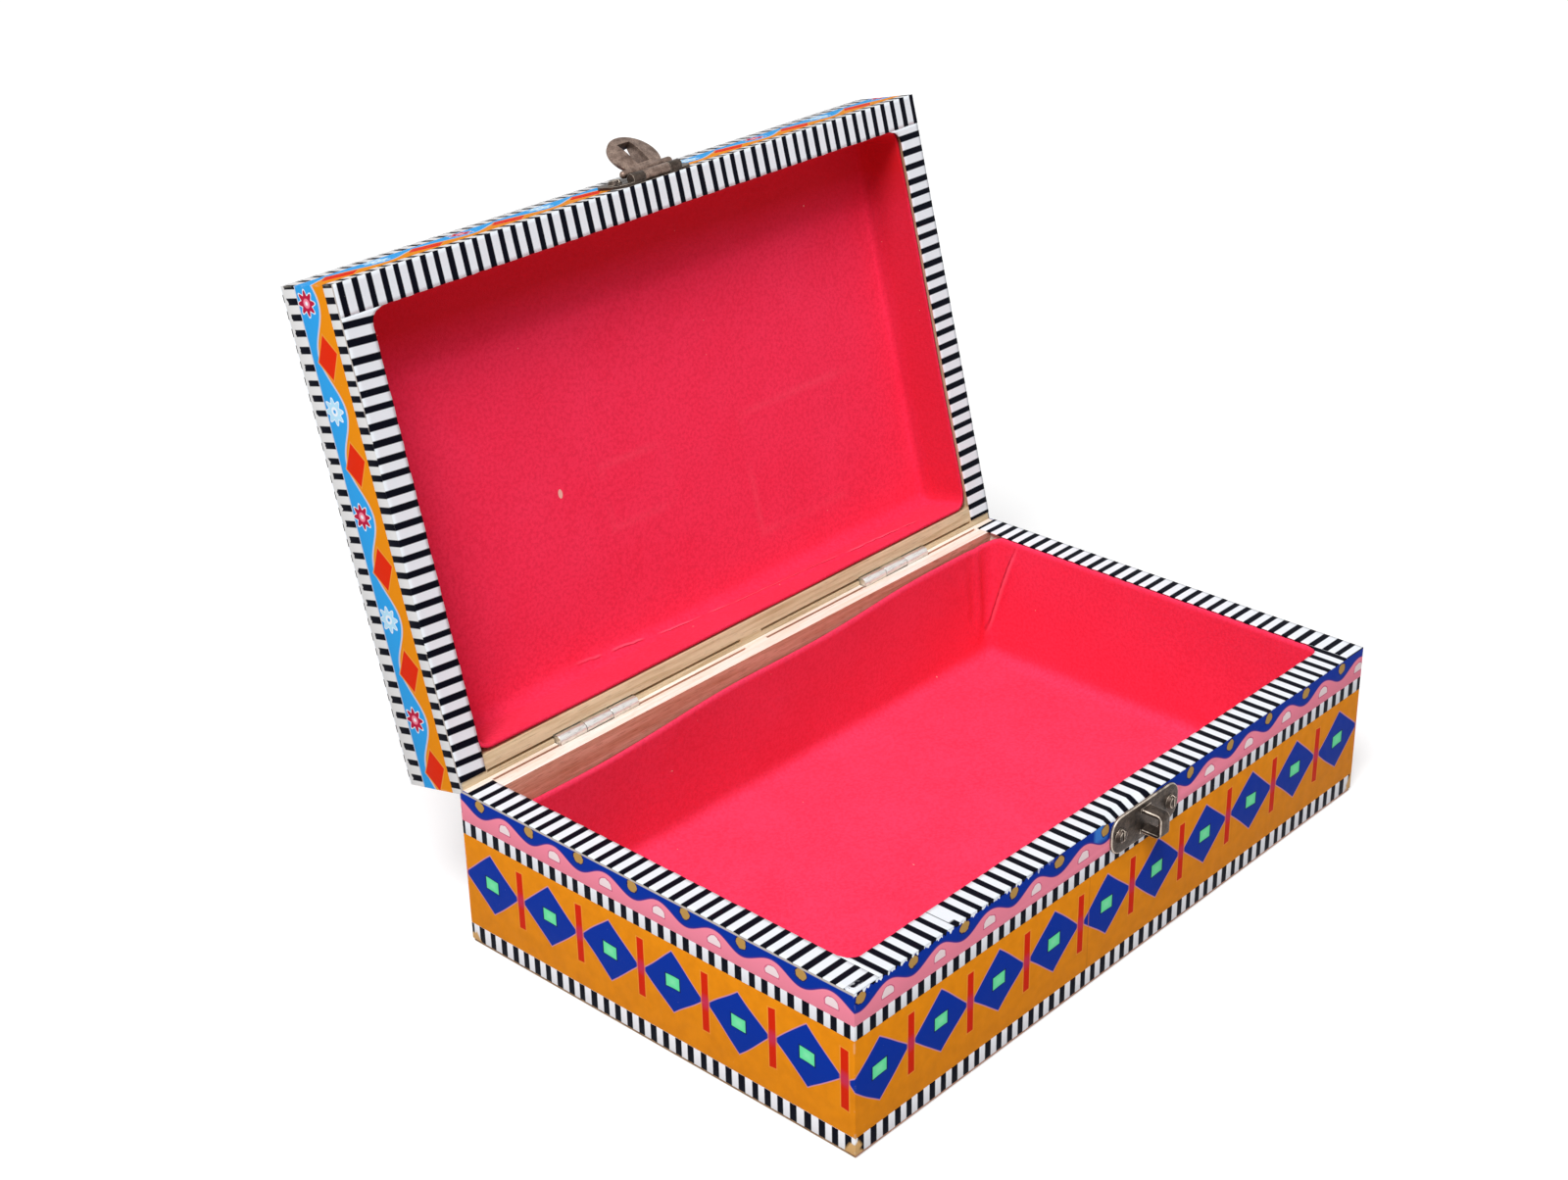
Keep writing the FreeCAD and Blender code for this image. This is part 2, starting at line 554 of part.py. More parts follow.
def rim_strip(label, x, y, low, lid):
    """A strip of paper on the rim of the base or of the lid."""
    strip = block(label, x, y, (low, f"{low} + Sizes.paper"))
    start = f"vector({x[0]}; {y[0]}; {low})"
    keep(strip, label, f"{OPEN_LID} * placement({start}; {NO_TURN})" if lid else None)


def dipped_rim_strip(label, x, y, low):
    """A strip of paper on the rim that follows the hollow behind the catch down to the front face."""
    flat = block(f"{label}_flat", x, y, (low, f"{low} + Sizes.paper"))
    level = cut(f"{label}_level", flat, [scoop_tool])
    skin = cut(f"{label}_skin", scoop(f"{label}_skin_outside", "Sizes.scoop_radius"),
               [scoop(f"{label}_skin_inside", "Sizes.scoop_radius - Sizes.paper")])
    dip = doc.addObject("Part::Common", f"{label}_dip")
    dip.Base = skin
    dip.Tool = block(f"{label}_room", x, y, (f"{low} - {SCOOP_REACH}", f"{low} + Sizes.paper"))
    keep(fuse(label, [level, dip]), label)


STRIP_REAR = LEAF_Y[0]
left_rim = (f"-{HALF_WIDTH}", f"-{FELT_X}")
right_rim = (FELT_X, HALF_WIDTH)
front_rim = (f"-{HALF_DEPTH}", f"-{FELT_Y}")
dipped_rim_strip("base_rim_strip_front", (f"-{FELT_X}", FELT_X), front_rim, BASE_RIM)
rim_strip("base_rim_strip_left", left_rim, (f"-{HALF_DEPTH}", STRIP_REAR), BASE_RIM, False)
rim_strip("base_rim_strip_right", right_rim, (f"-{HALF_DEPTH}", STRIP_REAR), BASE_RIM, False)
lid_strip_low = f"({LID_RIM} - Sizes.paper)"
rim_strip("lid_rim_strip_front", (f"-{HALF_WIDTH}", HALF_WIDTH), front_rim, lid_strip_low, True)
rim_strip("lid_rim_strip_left", left_rim, (f"-{FELT_Y}", STRIP_REAR), lid_strip_low, True)
rim_strip("lid_rim_strip_right", right_rim, (f"-{FELT_Y}", STRIP_REAR), lid_strip_low, True)


# Latch: a catch plate with a staple on the base, a hasp on a hinged plate on the lid

def latch_plate(name, low, high):
    """A flat plate with rounded corners on the front face."""
    body = doc.addObject("PartDesign::Body", name)
    middle = f"(({low}) + ({high})) / 2"
    height = f"(({high}) - ({low}))"
    outline = rectangle(body, f"{name}_outline", "XZ_Plane", ("Sizes.latch_width", height),
                        (LATCH_X, middle, HALF_DEPTH))
    pad = body.newObject("PartDesign::Pad", f"{name}_pad")
    pad.Profile = outline
    pad.setExpression("Length", "Sizes.latch_plate")

    def through_thickness(edge):
        first, last = (vertex.Point for vertex in edge.Vertexes)
        return close(first.x, last.x) and close(first.z, last.z)

    radius = f"min(Sizes.plate_corner; {height} / 2 - {PLATE_STRAIGHT} / 2)"
    rounded(body, pad, f"{name}_corners", radius, through_thickness)
    return body


def bent_strap(name):
    """The full block of the staple, with its two outer bends rounded."""
    body = doc.addObject("PartDesign::Body", name)
    start = f"({LATCH_X} - Sizes.staple_width / 2)"
    outline = rectangle(body, f"{name}_outline", "YZ_Plane", ("Sizes.staple_reach", "Sizes.staple_height"),
                        (f"({FRONT} - Sizes.staple_reach / 2)", STAPLE_Z, start))
    pad = body.newObject("PartDesign::Pad", f"{name}_pad")
    pad.Profile = outline
    pad.setExpression("Length", "Sizes.staple_width")
    tip = -size_of("box_depth") / 2 - size_of("staple_reach")

    def outer_bend(edge):
        first, last = (vertex.Point for vertex in edge.Vertexes)
        return close(first.y, tip) and close(last.y, tip) and not close(first.x, last.x)

    rounded(body, pad, f"{name}_bends", "Sizes.staple_bend", outer_bend)
    return body


staple_outer = bent_strap("staple_outer")
staple_hole = block("staple_hole", span(LATCH_X, f"Sizes.staple_width / 2 + {OVERRUN}"),
                    (f"{FRONT} - Sizes.staple_reach + Sizes.staple_strap", PLATE_FACE),
                    span(STAPLE_Z, "Sizes.staple_height / 2 - Sizes.staple_strap"))
staple = cut("staple", staple_outer, [staple_hole])
catch_blank = latch_plate("catch_blank", f"{STAPLE_Z} - Sizes.catch_height / 2",
                          f"{STAPLE_Z} + Sizes.catch_height / 2")
keep(cut("catch_plate", fuse("catch_joined", [catch_blank, staple]), [catch_screws]), "catch_plate")

barrel_x = span(LATCH_X, "Sizes.hasp_barrel / 2")
tongue_x = span(LATCH_X, "Sizes.hasp_knuckle / 2")
tongue_room_x = span(LATCH_X, "Sizes.hasp_knuckle / 2 + Sizes.knuckle_gap")
hasp_axis = (HASP_Y, HASP_Z)
plate_blank = latch_plate("hasp_plate_blank", HASP_PLATE_LOW,
                          f"{HASP_PLATE_LOW} + Sizes.hasp_plate_height")
knuckle_ends = {"left": (barrel_x[0], tongue_room_x[0]), "right": (tongue_room_x[1], barrel_x[1])}
plate_knuckles = [
    rod(f"hasp_plate_knuckle_{side}", "x", "Sizes.hasp_knuckle_radius", low, high, hasp_axis)
    for side, (low, high) in knuckle_ends.items()
]
tongue_room = rod("tongue_room", "x", "Sizes.hasp_knuckle_radius + Sizes.knuckle_gap",
                  *tongue_room_x, hasp_axis)
plate_bore = rod("hasp_plate_bore", "x", "Sizes.hasp_pin_radius", *barrel_x, hasp_axis)
plate_joined = fuse("hasp_plate_joined", [plate_blank] + plate_knuckles)
hasp_plate = cut("hasp_plate", plate_joined, [tongue_room, plate_bore, hasp_plate_screws])
keep(hasp_plate, "hasp_plate", OPEN_LID)
hasp_pin = rod("hasp_pin", "x", "Sizes.hasp_pin_radius", *barrel_x, hasp_axis)
pin_start = f"placement(vector({barrel_x[0]}; {HASP_Y}; {HASP_Z}); rotation(vector(0; 1; 0); 90))"
keep(hasp_pin, "hasp_pin", f"{OPEN_LID} * {pin_start}")

tab_y = (f"{HASP_Y} - Sizes.hasp_knuckle_radius",
         f"{HASP_Y} - Sizes.hasp_knuckle_radius + Sizes.hasp_thickness")


def dome(name, rise, face, sign):
    """A round swelling on one face of the tab, along Y in the direction of sign."""
    radius = f"((Sizes.hasp_boss_radius^2 + {rise}^2) / (2 * {rise}))"
    middle = f"({face} + ({sign}) * ({rise} - {radius}))"
    whole = ball(f"{name}_ball", radius, (LATCH_X, middle, STAPLE_Z))
    past = f"({face} + ({sign}) * ({rise} + {OVERRUN}))"
    room_y = (face, past) if sign > 0 else (past, face)
    room = block(f"{name}_room", span(LATCH_X, "Sizes.hasp_radius"), room_y,
                 span(STAPLE_Z, "Sizes.hasp_radius"))
    solid = doc.addObject("Part::Common", name)
    solid.Base = whole
    solid.Tool = room
    return solid


boss = dome("hasp_boss", "Sizes.hasp_boss", tab_y[0], -1)
back = dome("hasp_back", "Sizes.hasp_back", tab_y[1], 1)
bar_axis = (f"({tab_y[0]} + Sizes.hasp_thickness / 2)", f"({HASP_Z} - Sizes.hasp_bar_drop)")
bar_x = span(LATCH_X, "Sizes.hasp_bar_length / 2")
bar = [rod("hasp_bar", "x", "Sizes.hasp_bar_radius", *bar_x, bar_axis)]
for side, end in zip(("left", "right"), bar_x):
    bar.append(ball(f"hasp_bar_{side}_end", "Sizes.hasp_bar_radius", (end, *bar_axis)))
tab = rod("hasp_tab", "y", "Sizes.hasp_radius", *tab_y, (LATCH_X, STAPLE_Z))
neck = block("hasp_neck", tongue_x, tab_y, (f"{HASP_Z} - Sizes.hasp_neck", HASP_Z))
tongue = rod("hasp_tongue", "x", "Sizes.hasp_knuckle_radius", *tongue_x, hasp_axis)
tongue_bore = rod("hasp_bore", "x", "Sizes.hasp_pin_radius + Sizes.pin_clearance", *tongue_x, hasp_axis)
staple_swing = (
    f"sqrt((Sizes.staple_reach - {HASP_STANDOFF})^2 + (Sizes.hasp_drop + Sizes.staple_height / 2)^2)"
)
slot_z = (f"{HASP_Z} - {staple_swing} - Sizes.slot_clearance",
          f"{STAPLE_Z} + Sizes.staple_height / 2 + Sizes.slot_clearance")
slot_y = (f"{tab_y[0]} - Sizes.hasp_boss - {OVERRUN}", f"{tab_y[1]} + Sizes.hasp_back + {OVERRUN}")
slot = block("hasp_slot", span(LATCH_X, "Sizes.staple_width / 2 + Sizes.slot_clearance"), slot_y, slot_z)
hasp = cut("hasp", fuse("hasp_joined", [tab, boss, back, neck, tongue] + bar), [tongue_bore, slot])
keep(hasp, "hasp", RAISED_HASP)

# The fasteners of the lid turn open with it, after they have cut their holes in the shut lid
lid_fasteners = {
    "lid_panel_brads": lid_panel_brads,
    "lid_corner_brads": lid_corner_brads,
    "hasp_plate_screws": hasp_plate_screws,
}
for label, fasteners in lid_fasteners.items():
    turned = doc.addObject("Part::Compound", label)
    turned.Links = [fasteners]
    keep(turned, label, OPEN_LID)

doc.recompute()

# Every object has to be sound before anything is written
for item in doc.Objects:
    if "Invalid" in item.State or "Error" in item.State:
        raise RuntimeError(f"{item.Label} failed: {item.State}")
for solid in pieces:
    if solid.Shape.isNull() or not solid.Shape.isValid() or not solid.Shape.Solids:
        raise RuntimeError(f"{solid.Label} has no sound solid")

os.makedirs("parts", exist_ok=True)
for solid in pieces:
    solid.Shape.exportStep(f"parts/{solid.Label}.step")
    box = solid.Shape.optimalBoundingBox()
    print(f"{solid.Label}: {len(solid.Shape.Solids)} solid(s), {solid.Shape.Volume:.1f} mm3,"
          f" z {box.ZMin:.2f} to {box.ZMax:.2f}")
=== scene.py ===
import json
import math

import bmesh
import bpy
from mathutils import Matrix, Vector, noise


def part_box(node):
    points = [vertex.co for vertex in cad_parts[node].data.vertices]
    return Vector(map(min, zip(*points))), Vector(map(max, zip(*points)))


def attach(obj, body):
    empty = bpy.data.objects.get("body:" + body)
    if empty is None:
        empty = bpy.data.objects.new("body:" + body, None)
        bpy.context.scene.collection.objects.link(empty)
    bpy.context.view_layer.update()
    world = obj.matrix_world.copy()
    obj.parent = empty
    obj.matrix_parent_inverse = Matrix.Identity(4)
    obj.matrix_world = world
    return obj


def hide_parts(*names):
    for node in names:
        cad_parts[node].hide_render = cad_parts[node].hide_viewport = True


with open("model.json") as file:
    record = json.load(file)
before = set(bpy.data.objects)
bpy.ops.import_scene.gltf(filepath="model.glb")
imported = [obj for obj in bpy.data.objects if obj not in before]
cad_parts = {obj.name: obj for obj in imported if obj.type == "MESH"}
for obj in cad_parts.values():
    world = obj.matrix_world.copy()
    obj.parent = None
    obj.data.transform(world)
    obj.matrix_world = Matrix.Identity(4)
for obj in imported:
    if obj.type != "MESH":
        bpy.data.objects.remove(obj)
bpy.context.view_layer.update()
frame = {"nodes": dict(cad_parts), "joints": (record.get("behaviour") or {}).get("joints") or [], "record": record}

# Sizes below are in millimetres and angles in degrees, unless a name says otherwise.
# Shapes and prints of the lid are described with the lid shut, and are then turned open.
METRE = 1000.0
PAPER = 0.3
LINING = 1.2
RIM_GAP = 0.4
LID_HEIGHT = 21.4
LID_PANEL = 3.0


def lowest(node):
    """Low corner of the box round a node, in millimetres."""
    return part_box(node)[0] * METRE


def highest(node):
    """High corner of the box round a node, in millimetres."""
    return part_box(node)[1] * METRE


HALF_WIDTH = highest("base_diamond_strip").x
HALF_DEPTH = highest("base_diamond_strip").y
ROUND_BOX = 4 * (HALF_WIDTH + HALF_DEPTH)
BASE_RIM = highest("base_rim_strip_left").z - PAPER
STRIP_REAR = highest("base_rim_strip_left").y
FELT_X = -highest("base_rim_strip_left").x
FELT_Y = -highest("base_rim_strip_front").y
FLOOR_Z = lowest("base_lining").z + LINING
joints = {joint["name"]: joint for joint in frame["joints"]}
HINGE = Vector(joints["lid_hinge"]["pos_m"]) * METRE
OPEN_ANGLE = -joints["lid_hinge"]["range_deg"][0]
LID_RIM = HINGE.z + RIM_GAP / 2 + PAPER
LID_CEILING = HINGE.z + LID_HEIGHT - PAPER - LID_PANEL - LINING
LATCH_X = joints["hasp_swing"]["pos_m"][0] * METRE

turn_open = (
    Matrix.Translation(HINGE)
    @ Matrix.Rotation(math.radians(-OPEN_ANGLE), 4, "X")
    @ Matrix.Translation(-HINGE)
)
body_of = {node: body for body, nodes in frame["record"]["behaviour"]["bodies"].items() for node in nodes}


# Node graphs, written as plain arithmetic

def tint(code):
    """A colour written as six hexadecimal digits, in the linear values that shaders use."""
    channels = [int(code[at:at + 2], 16) / 255 for at in (0, 2, 4)]
    linear = [c / 12.92 if c <= 0.04045 else ((c + 0.055) / 1.055) ** 2.4 for c in channels]
    return (*linear, 1.0)


def plug(tree, socket, value):
    """Set a socket to a constant, or link it to a field or another socket."""
    if isinstance(value, Field):
        tree.links.new(value.socket, socket)
    elif isinstance(value, bpy.types.NodeSocket):
        tree.links.new(value, socket)
    else:
        socket.default_value = value


class Field:
    """A number that varies over a surface, held by the socket of a node."""

    def __init__(self, tree, socket):
        self.tree = tree
        self.socket = socket

    def math(self, operation, *others):
        node = self.tree.nodes.new("ShaderNodeMath")
        node.operation = operation
        for socket, value in zip(node.inputs, (self, *others)):
            plug(self.tree, socket, value)
        return Field(self.tree, node.outputs[0])

    def __add__(self, other):
        return self.math("ADD", other)

    def __sub__(self, other):
        return self.math("SUBTRACT", other)

    def __mul__(self, other):
        return self.math("MULTIPLY", other)

    def __truediv__(self, other):
        return self.math("DIVIDE", other)

    def __rsub__(self, other):
        return self * -1.0 + other

    def __abs__(self):
        return self.math("ABSOLUTE")

    __radd__ = __add__
    __rmul__ = __mul__

    def fract(self):
        return self.math("FRACT")

    def floor(self):
        return self.math("FLOOR")

    def root(self):
        return self.math("SQRT")

    def wave(self, pitch, start):
        """One at start and at every pitch from it, minus one half way between."""
        return ((self - start) * (2 * math.pi / pitch)).math("COSINE")

    def cell(self, pitch, start):
        """Signed distance to the nearest of the places at start and at every pitch from it."""
        return (((self - start) / pitch + 0.5).fract() - 0.5) * pitch

    def least(self, other):
        return self.math("MINIMUM", other)

    def most(self, other):
        return self.math("MAXIMUM", other)

    def over(self, edge, soft=0.05):
        """One above an edge and zero below it, with a soft step between."""
        node = self.tree.nodes.new("ShaderNodeMapRange")
        plug(self.tree, node.inputs["Value"], self - edge)
        node.inputs["From Min"].default_value = -soft
        node.inputs["From Max"].default_value = soft
        return Field(self.tree, node.outputs[0])

    def under(self, edge, soft=0.05):
        return 1.0 - self.over(edge, soft)

    def pick(self, low, high):
        """The low field where this is zero and the high one where it is one."""
        return low + (high - low) * self


class Surface:
    """One material under construction."""

    def __init__(self, name, roughness=0.5, metallic=0.0, specular=0.5):
        self.material = bpy.data.materials.new(name)
        self.material.use_nodes = True
        self.tree = self.material.node_tree
        self.shader = next(n for n in self.tree.nodes if n.type == "BSDF_PRINCIPLED")
        self.shader.inputs["Roughness"].default_value = roughness
        self.shader.inputs["Metallic"].default_value = metallic
        self.shader.inputs["Specular IOR Level"].default_value = specular
        self.coordinates = self.tree.nodes.new("ShaderNodeTexCoord")

    def place(self, lid=False):
        """Find the point on the surface in millimetres, with the lid shut, and its three fields."""
        vector = self.coordinates.outputs["Object"]
        if lid:
            turn = self.tree.nodes.new("ShaderNodeVectorRotate")
            turn.rotation_type = "X_AXIS"
            plug(self.tree, turn.inputs["Vector"], vector)
            turn.inputs["Center"].default_value = HINGE / METRE
            turn.inputs["Angle"].default_value = math.radians(OPEN_ANGLE)
            vector = turn.outputs[0]
        scale = self.tree.nodes.new("ShaderNodeVectorMath")
        scale.operation = "SCALE"
        plug(self.tree, scale.inputs[0], vector)
        scale.inputs["Scale"].default_value = METRE
        self.point = scale.outputs[0]
        self.x, self.y, self.z = self.split(self.point)
        return self

    def split(self, vector):
        node = self.tree.nodes.new("ShaderNodeSeparateXYZ")
        plug(self.tree, node.inputs[0], vector)
        return [Field(self.tree, socket) for socket in node.outputs]

    def facing(self):
        """The fields of the surface's direction, in the frame of the part at rest."""
        return self.split(self.coordinates.outputs["Normal"])

    def run(self, side):
        """Distance along one side from the left rear corner, as a strip of paper runs round the box."""
        if side == "left":
            return HALF_DEPTH - self.y
        if side == "front":
            return self.x + (2 * HALF_DEPTH + HALF_WIDTH)
        if side == "right":
            return self.y + (3 * HALF_DEPTH + 2 * HALF_WIDTH)
        return (4 * HALF_DEPTH + 3 * HALF_WIDTH) - self.x

    def round_box(self):
        """The run along whichever of the four sides the surface faces."""
        nx, _, _ = self.facing()
        ends = self.x.over(0.0).pick(self.run("left"), self.run("right"))
        longs = self.y.over(0.0).pick(self.run("front"), self.run("back"))
        return abs(nx).over(0.7).pick(longs, ends)

    def ripple(self, along, scale, seed):
        """Smooth noise from 0 to 1 that changes along one field only."""
        node = self.tree.nodes.new("ShaderNodeTexNoise")
        node.noise_dimensions = "1D"
        plug(self.tree, node.inputs["W"], along * scale + seed)
        node.inputs["Scale"].default_value = 1.0
        node.inputs["Detail"].default_value = 1.0
        return Field(self.tree, node.outputs[0])

    def wander(self, along, scale, seed, width):
        """Smooth noise along one field, spread evenly about zero over a width."""
        return (self.ripple(along, scale, seed) - 0.5) * width

    def noise(self, scale, detail=2.0, stretch=(1, 1, 1), seed=0.0):
        """Smooth noise from 0 to 1 with a given number of blots in a millimetre."""
        mapping = self.tree.nodes.new("ShaderNodeMapping")
        plug(self.tree, mapping.inputs["Vector"], self.point)
        mapping.inputs["Scale"].default_value = stretch
        mapping.inputs["Location"].default_value = (seed, seed, seed)
        node = self.tree.nodes.new("ShaderNodeTexNoise")
        plug(self.tree, node.inputs["Vector"], mapping.outputs[0])
        node.inputs["Scale"].default_value = scale
        node.inputs["Detail"].default_value = detail
        return Field(self.tree, node.outputs[0])

    def paint(self, under, over, mask):
        """One colour laid over another by a mask."""
        node = self.tree.nodes.new("ShaderNodeMix")
        node.data_type = "RGBA"
        plug(self.tree, node.inputs[0], mask)
        plug(self.tree, node.inputs[6], under)
        plug(self.tree, node.inputs[7], over)
        return node.outputs[2]

    def colour(self, value):
        plug(self.tree, self.shader.inputs["Base Color"], value)

    def roughness(self, low, high, field):
        plug(self.tree, self.shader.inputs["Roughness"], field * (high - low) + low)

    def bump(self, height, depth, strength=1.0):
        """Relief in the shading, with its depth in millimetres."""
        node = self.tree.nodes.new("ShaderNodeBump")
        node.inputs["Strength"].default_value = strength
        node.inputs["Distance"].default_value = depth / METRE
        plug(self.tree, node.inputs["Height"], height)
        plug(self.tree, self.shader.inputs["Normal"], node.outputs[0])


# Colours of the printed papers
BLACK = tint("060814")
WHITE = tint("edf2f8")
SOFT_WHITE = tint("e6e7ec")
DULL_WHITE = tint("dddcdc")
ORANGE = tint("e48a10")
BROWN = tint("c2700f")
BLUE = tint("063098")
LILAC = tint("cb8ca6")
GREEN = tint("66de9e")
MINT = tint("a8f0c2")
NAVY = tint("10164a")
RED = tint("cf2408")
SCARLET = tint("dd2a0a")
MAGENTA = tint("b8386c")
AMBER = tint("e8953a")
PINK = tint("f0889e")
VIOLET = tint("3a2f8c")
OCHRE = tint("b48c4c")
BLUSH = tint("f0dcde")
CREAM = tint("efe6d6")
SKY = tint("2f9fe6")
PALE_SKY = tint("b4dff6")
SHINE = tint("4f9bec")
LAVENDER = tint("c3c6d8")
CUT_EDGE = tint("b9b0aa")
CRIMSON = tint("b8173f")
TAN = tint("cfa46c")


# Dashes on the sides and stripes on the rims

DASH_PITCH = 4.0
DASH_SHARE = 0.49
DASH_SHIFT = 0.9
DASH_SPREAD = 0.3
LID_DASH_SHARE = 0.43
LID_DASH_SLIP = 1.7
LID_DASH_MARGIN = 1.5
LID_DASH_RAGGED = 1.2
LID_CUT_HEIGHT = 1.0
STRIPE_SHARE = 0.455
LID_STRIPE_SHARE = 0.43
LID_STRIPE_SKEW = 0.07
BLANK_X = -66.5
BLANK_HALF = 1.8
BLANK_INSET = 1.6
TORN_REACH = 3.5


def dashes(surface, along, share):
    """Mask of black dashes along a strip, slightly uneven as printed and cut by hand."""
    shift = surface.wander(along, 0.09, 4.0, DASH_SHIFT)
    half = surface.wander(along, 0.31, 31.0, DASH_SPREAD) + DASH_PITCH * share / 2
    return abs((along + shift).cell(DASH_PITCH, 0.0)).under(half, 0.1)


def draw_dashes(surface):
    """Dashes round the base."""
    return surface.paint(SOFT_WHITE, BLACK, dashes(surface, surface.round_box(), DASH_SHARE))


def draw_lid_dashes(surface):
    """Dashes round the lid that slip against the stripes of its rim and stop short of its top."""
    along = surface.round_box()
    slip = (1.0 - along.wave(2 * HALF_DEPTH, HALF_DEPTH)) * (LID_DASH_SLIP / 2)
    height = surface.z - HINGE.z
    ragged = height + surface.wander(along, 0.8, 23.0, LID_DASH_RAGGED)
    black = dashes(surface, along + slip, LID_DASH_SHARE) * ragged.under(LID_HEIGHT - LID_DASH_MARGIN, 0.1)
    colour = surface.paint(DULL_WHITE, BLACK, black)
    edge = height.under(LID_CUT_HEIGHT, 0.1) * slip.over(LID_DASH_SLIP / 2, 0.3)
    return surface.paint(colour, CUT_EDGE, edge)


def stripes(side, share=STRIPE_SHARE, skew=0.0):
    """The print of the striped paper on the rim along one side, slanted by a skew from the left end."""
    def draw(surface):
        along = surface.run(side) + (surface.x + HALF_WIDTH) * skew
        return surface.paint(WHITE, BLACK, dashes(surface, along, share))
    return draw


def torn_stripes(side):
    """Stripes with a blank patch, and white torn fibres at the front left corner."""
    def draw(surface):
        across = surface.x + HALF_WIDTH
        deep = surface.y + HALF_DEPTH
        corner = (across * across + deep * deep).root()
        torn = corner.under(TORN_REACH, 1.5) * surface.noise(0.7, 3.0, seed=12.0).over(0.46, 0.04)
        blank = abs(surface.x - BLANK_X).under(BLANK_HALF, 0.15) * deep.over(BLANK_INSET, 0.3)
        return surface.paint(stripes(side)(surface), WHITE, torn.most(blank))
    return draw


# Diamonds on the base

DIAMOND_COUNT = 32
DIAMOND_PITCH = ROUND_BOX / DIAMOND_COUNT
DIAMOND_START = 9.4
DIAMOND_HALF = (9.7, 8.5)
DIAMOND_Z = 20.2
DIAMOND_WANDER = 2.4
HEART_HALF = (2.2, 1.7)
BAR_HALF = (1.05, 8.0)
BAR_HALO = 0.3
TIP_HALF = (1.3, 1.6)
SEAM_X = -18.0
SEAM_HALF = 0.14
TURN_REACH = 12.0
TURN_STRETCH = 1.6


def diamonds(surface, along, height):
    """Blue diamonds with green hearts between red bars on orange."""
    colour = surface.paint(ORANGE, BROWN, surface.noise(0.3, 4.0).over(0.6, 0.25) * 0.5)
    up = height + surface.wander(along, 0.05, 9.0, DIAMOND_WANDER)
    across = along.cell(DIAMOND_PITCH, DIAMOND_START)
    rhombus = abs(across) / DIAMOND_HALF[0] + abs(up) / DIAMOND_HALF[1]
    colour = surface.paint(colour, LILAC, rhombus.under(1.02, 0.012))
    colour = surface.paint(colour, BLUE, rhombus.under(0.985, 0.012))
    heart = (abs(across) / HEART_HALF[0]).most(abs(up) / HEART_HALF[1])
    colour = surface.paint(colour, NAVY, heart.under(1.12, 0.04))
    colour = surface.paint(colour, GREEN, heart.under(0.97, 0.04))
    colour = surface.paint(colour, MINT, heart.under(0.45, 0.25) * 0.3)
    beside = along.cell(DIAMOND_PITCH, DIAMOND_START + DIAMOND_PITCH / 2)
    bar = (abs(beside) - BAR_HALF[0]).most(abs(up) - BAR_HALF[1])
    colour = surface.paint(colour, AMBER, bar.under(BAR_HALO, 0.08) * 0.7)
    colour = surface.paint(colour, RED, bar.under(0.0, 0.06))
    tips = abs(up).under(TIP_HALF[1], 0.9) * abs(beside).under(TIP_HALF[0], 0.4)
    return surface.paint(colour, MAGENTA, tips * 0.5)


def draw_diamonds(surface):
    """Diamonds round the base, with the paper's seam on the front."""
    along = surface.round_box()
    along = along - along.over(2 * HALF_DEPTH, TURN_REACH) * TURN_STRETCH
    colour = diamonds(surface, along, surface.z - DIAMOND_Z)
    _, ny, _ = surface.facing()
    seam = abs(surface.x - SEAM_X).under(SEAM_HALF, 0.08) * ny.under(-0.7)
    return surface.paint(colour, BROWN, seam * 0.7)


# Waves on the base

WAVE_COUNT = 38
WAVE_PITCH = ROUND_BOX / WAVE_COUNT
WAVE_START = 7.0
WAVE_Z = 39.9
WAVE_HEIGHT = 1.6
WAVE_WANDER = 1.6
OCHRE_UP = 1.7
OCHRE_HALF = (1.6, 1.45)
BLUSH_DOWN = 2.0
BLUSH_HALF = (1.95, 1.9)
BLUSH_FOOT = -2.5
BLUSH_RIM = 0.25
SHINE_X = -14.3
SHINE_HALF = 2.6
CUT_HEIGHT = 0.6
RAGGED_END = -38.0
RAGGED_RISE = 0.35
RAGGED_DEPTH = 1.9


def oval(across, up, half):
    """Squared distance from the middle of an oval, which is one on its edge."""
    wide = across / half[0]
    high = up / half[1]
    return wide * wide + high * high


def waves(surface, along, height, blue=BLUE):
    """Blue above and pink below a wavy line, with an ochre or a pale blot in each bend."""
    drift = along + surface.wander(along, 0.06, 2.0, WAVE_WANDER)
    line = drift.wave(WAVE_PITCH, WAVE_START) * -WAVE_HEIGHT
    above = height - line
    colour = surface.paint(PINK, blue, above.over(0.0, 0.06))
    colour = surface.paint(colour, VIOLET, abs(above).under(0.2, 0.12))
    low = drift.cell(WAVE_PITCH, WAVE_START)
    high = drift.cell(WAVE_PITCH, WAVE_START + WAVE_PITCH / 2)
    uneven = (surface.noise(0.8, 1.0, seed=14.0) - 0.5) * 1.2
    ochre = oval(low, height - OCHRE_UP, OCHRE_HALF) + uneven
    colour = surface.paint(colour, NAVY, ochre.under(1.3, 0.15))
    colour = surface.paint(colour, OCHRE, ochre.under(0.95, 0.1))
    dome = oval(high, height + BLUSH_DOWN, BLUSH_HALF) + uneven * 0.6
    rim = dome.under(1.25, 0.1) * height.over(BLUSH_FOOT - BLUSH_RIM, 0.06)
    colour = surface.paint(colour, MAGENTA, rim * 0.6)
    return surface.paint(colour, BLUSH, dome.under(0.95, 0.08) * height.over(BLUSH_FOOT, 0.06))


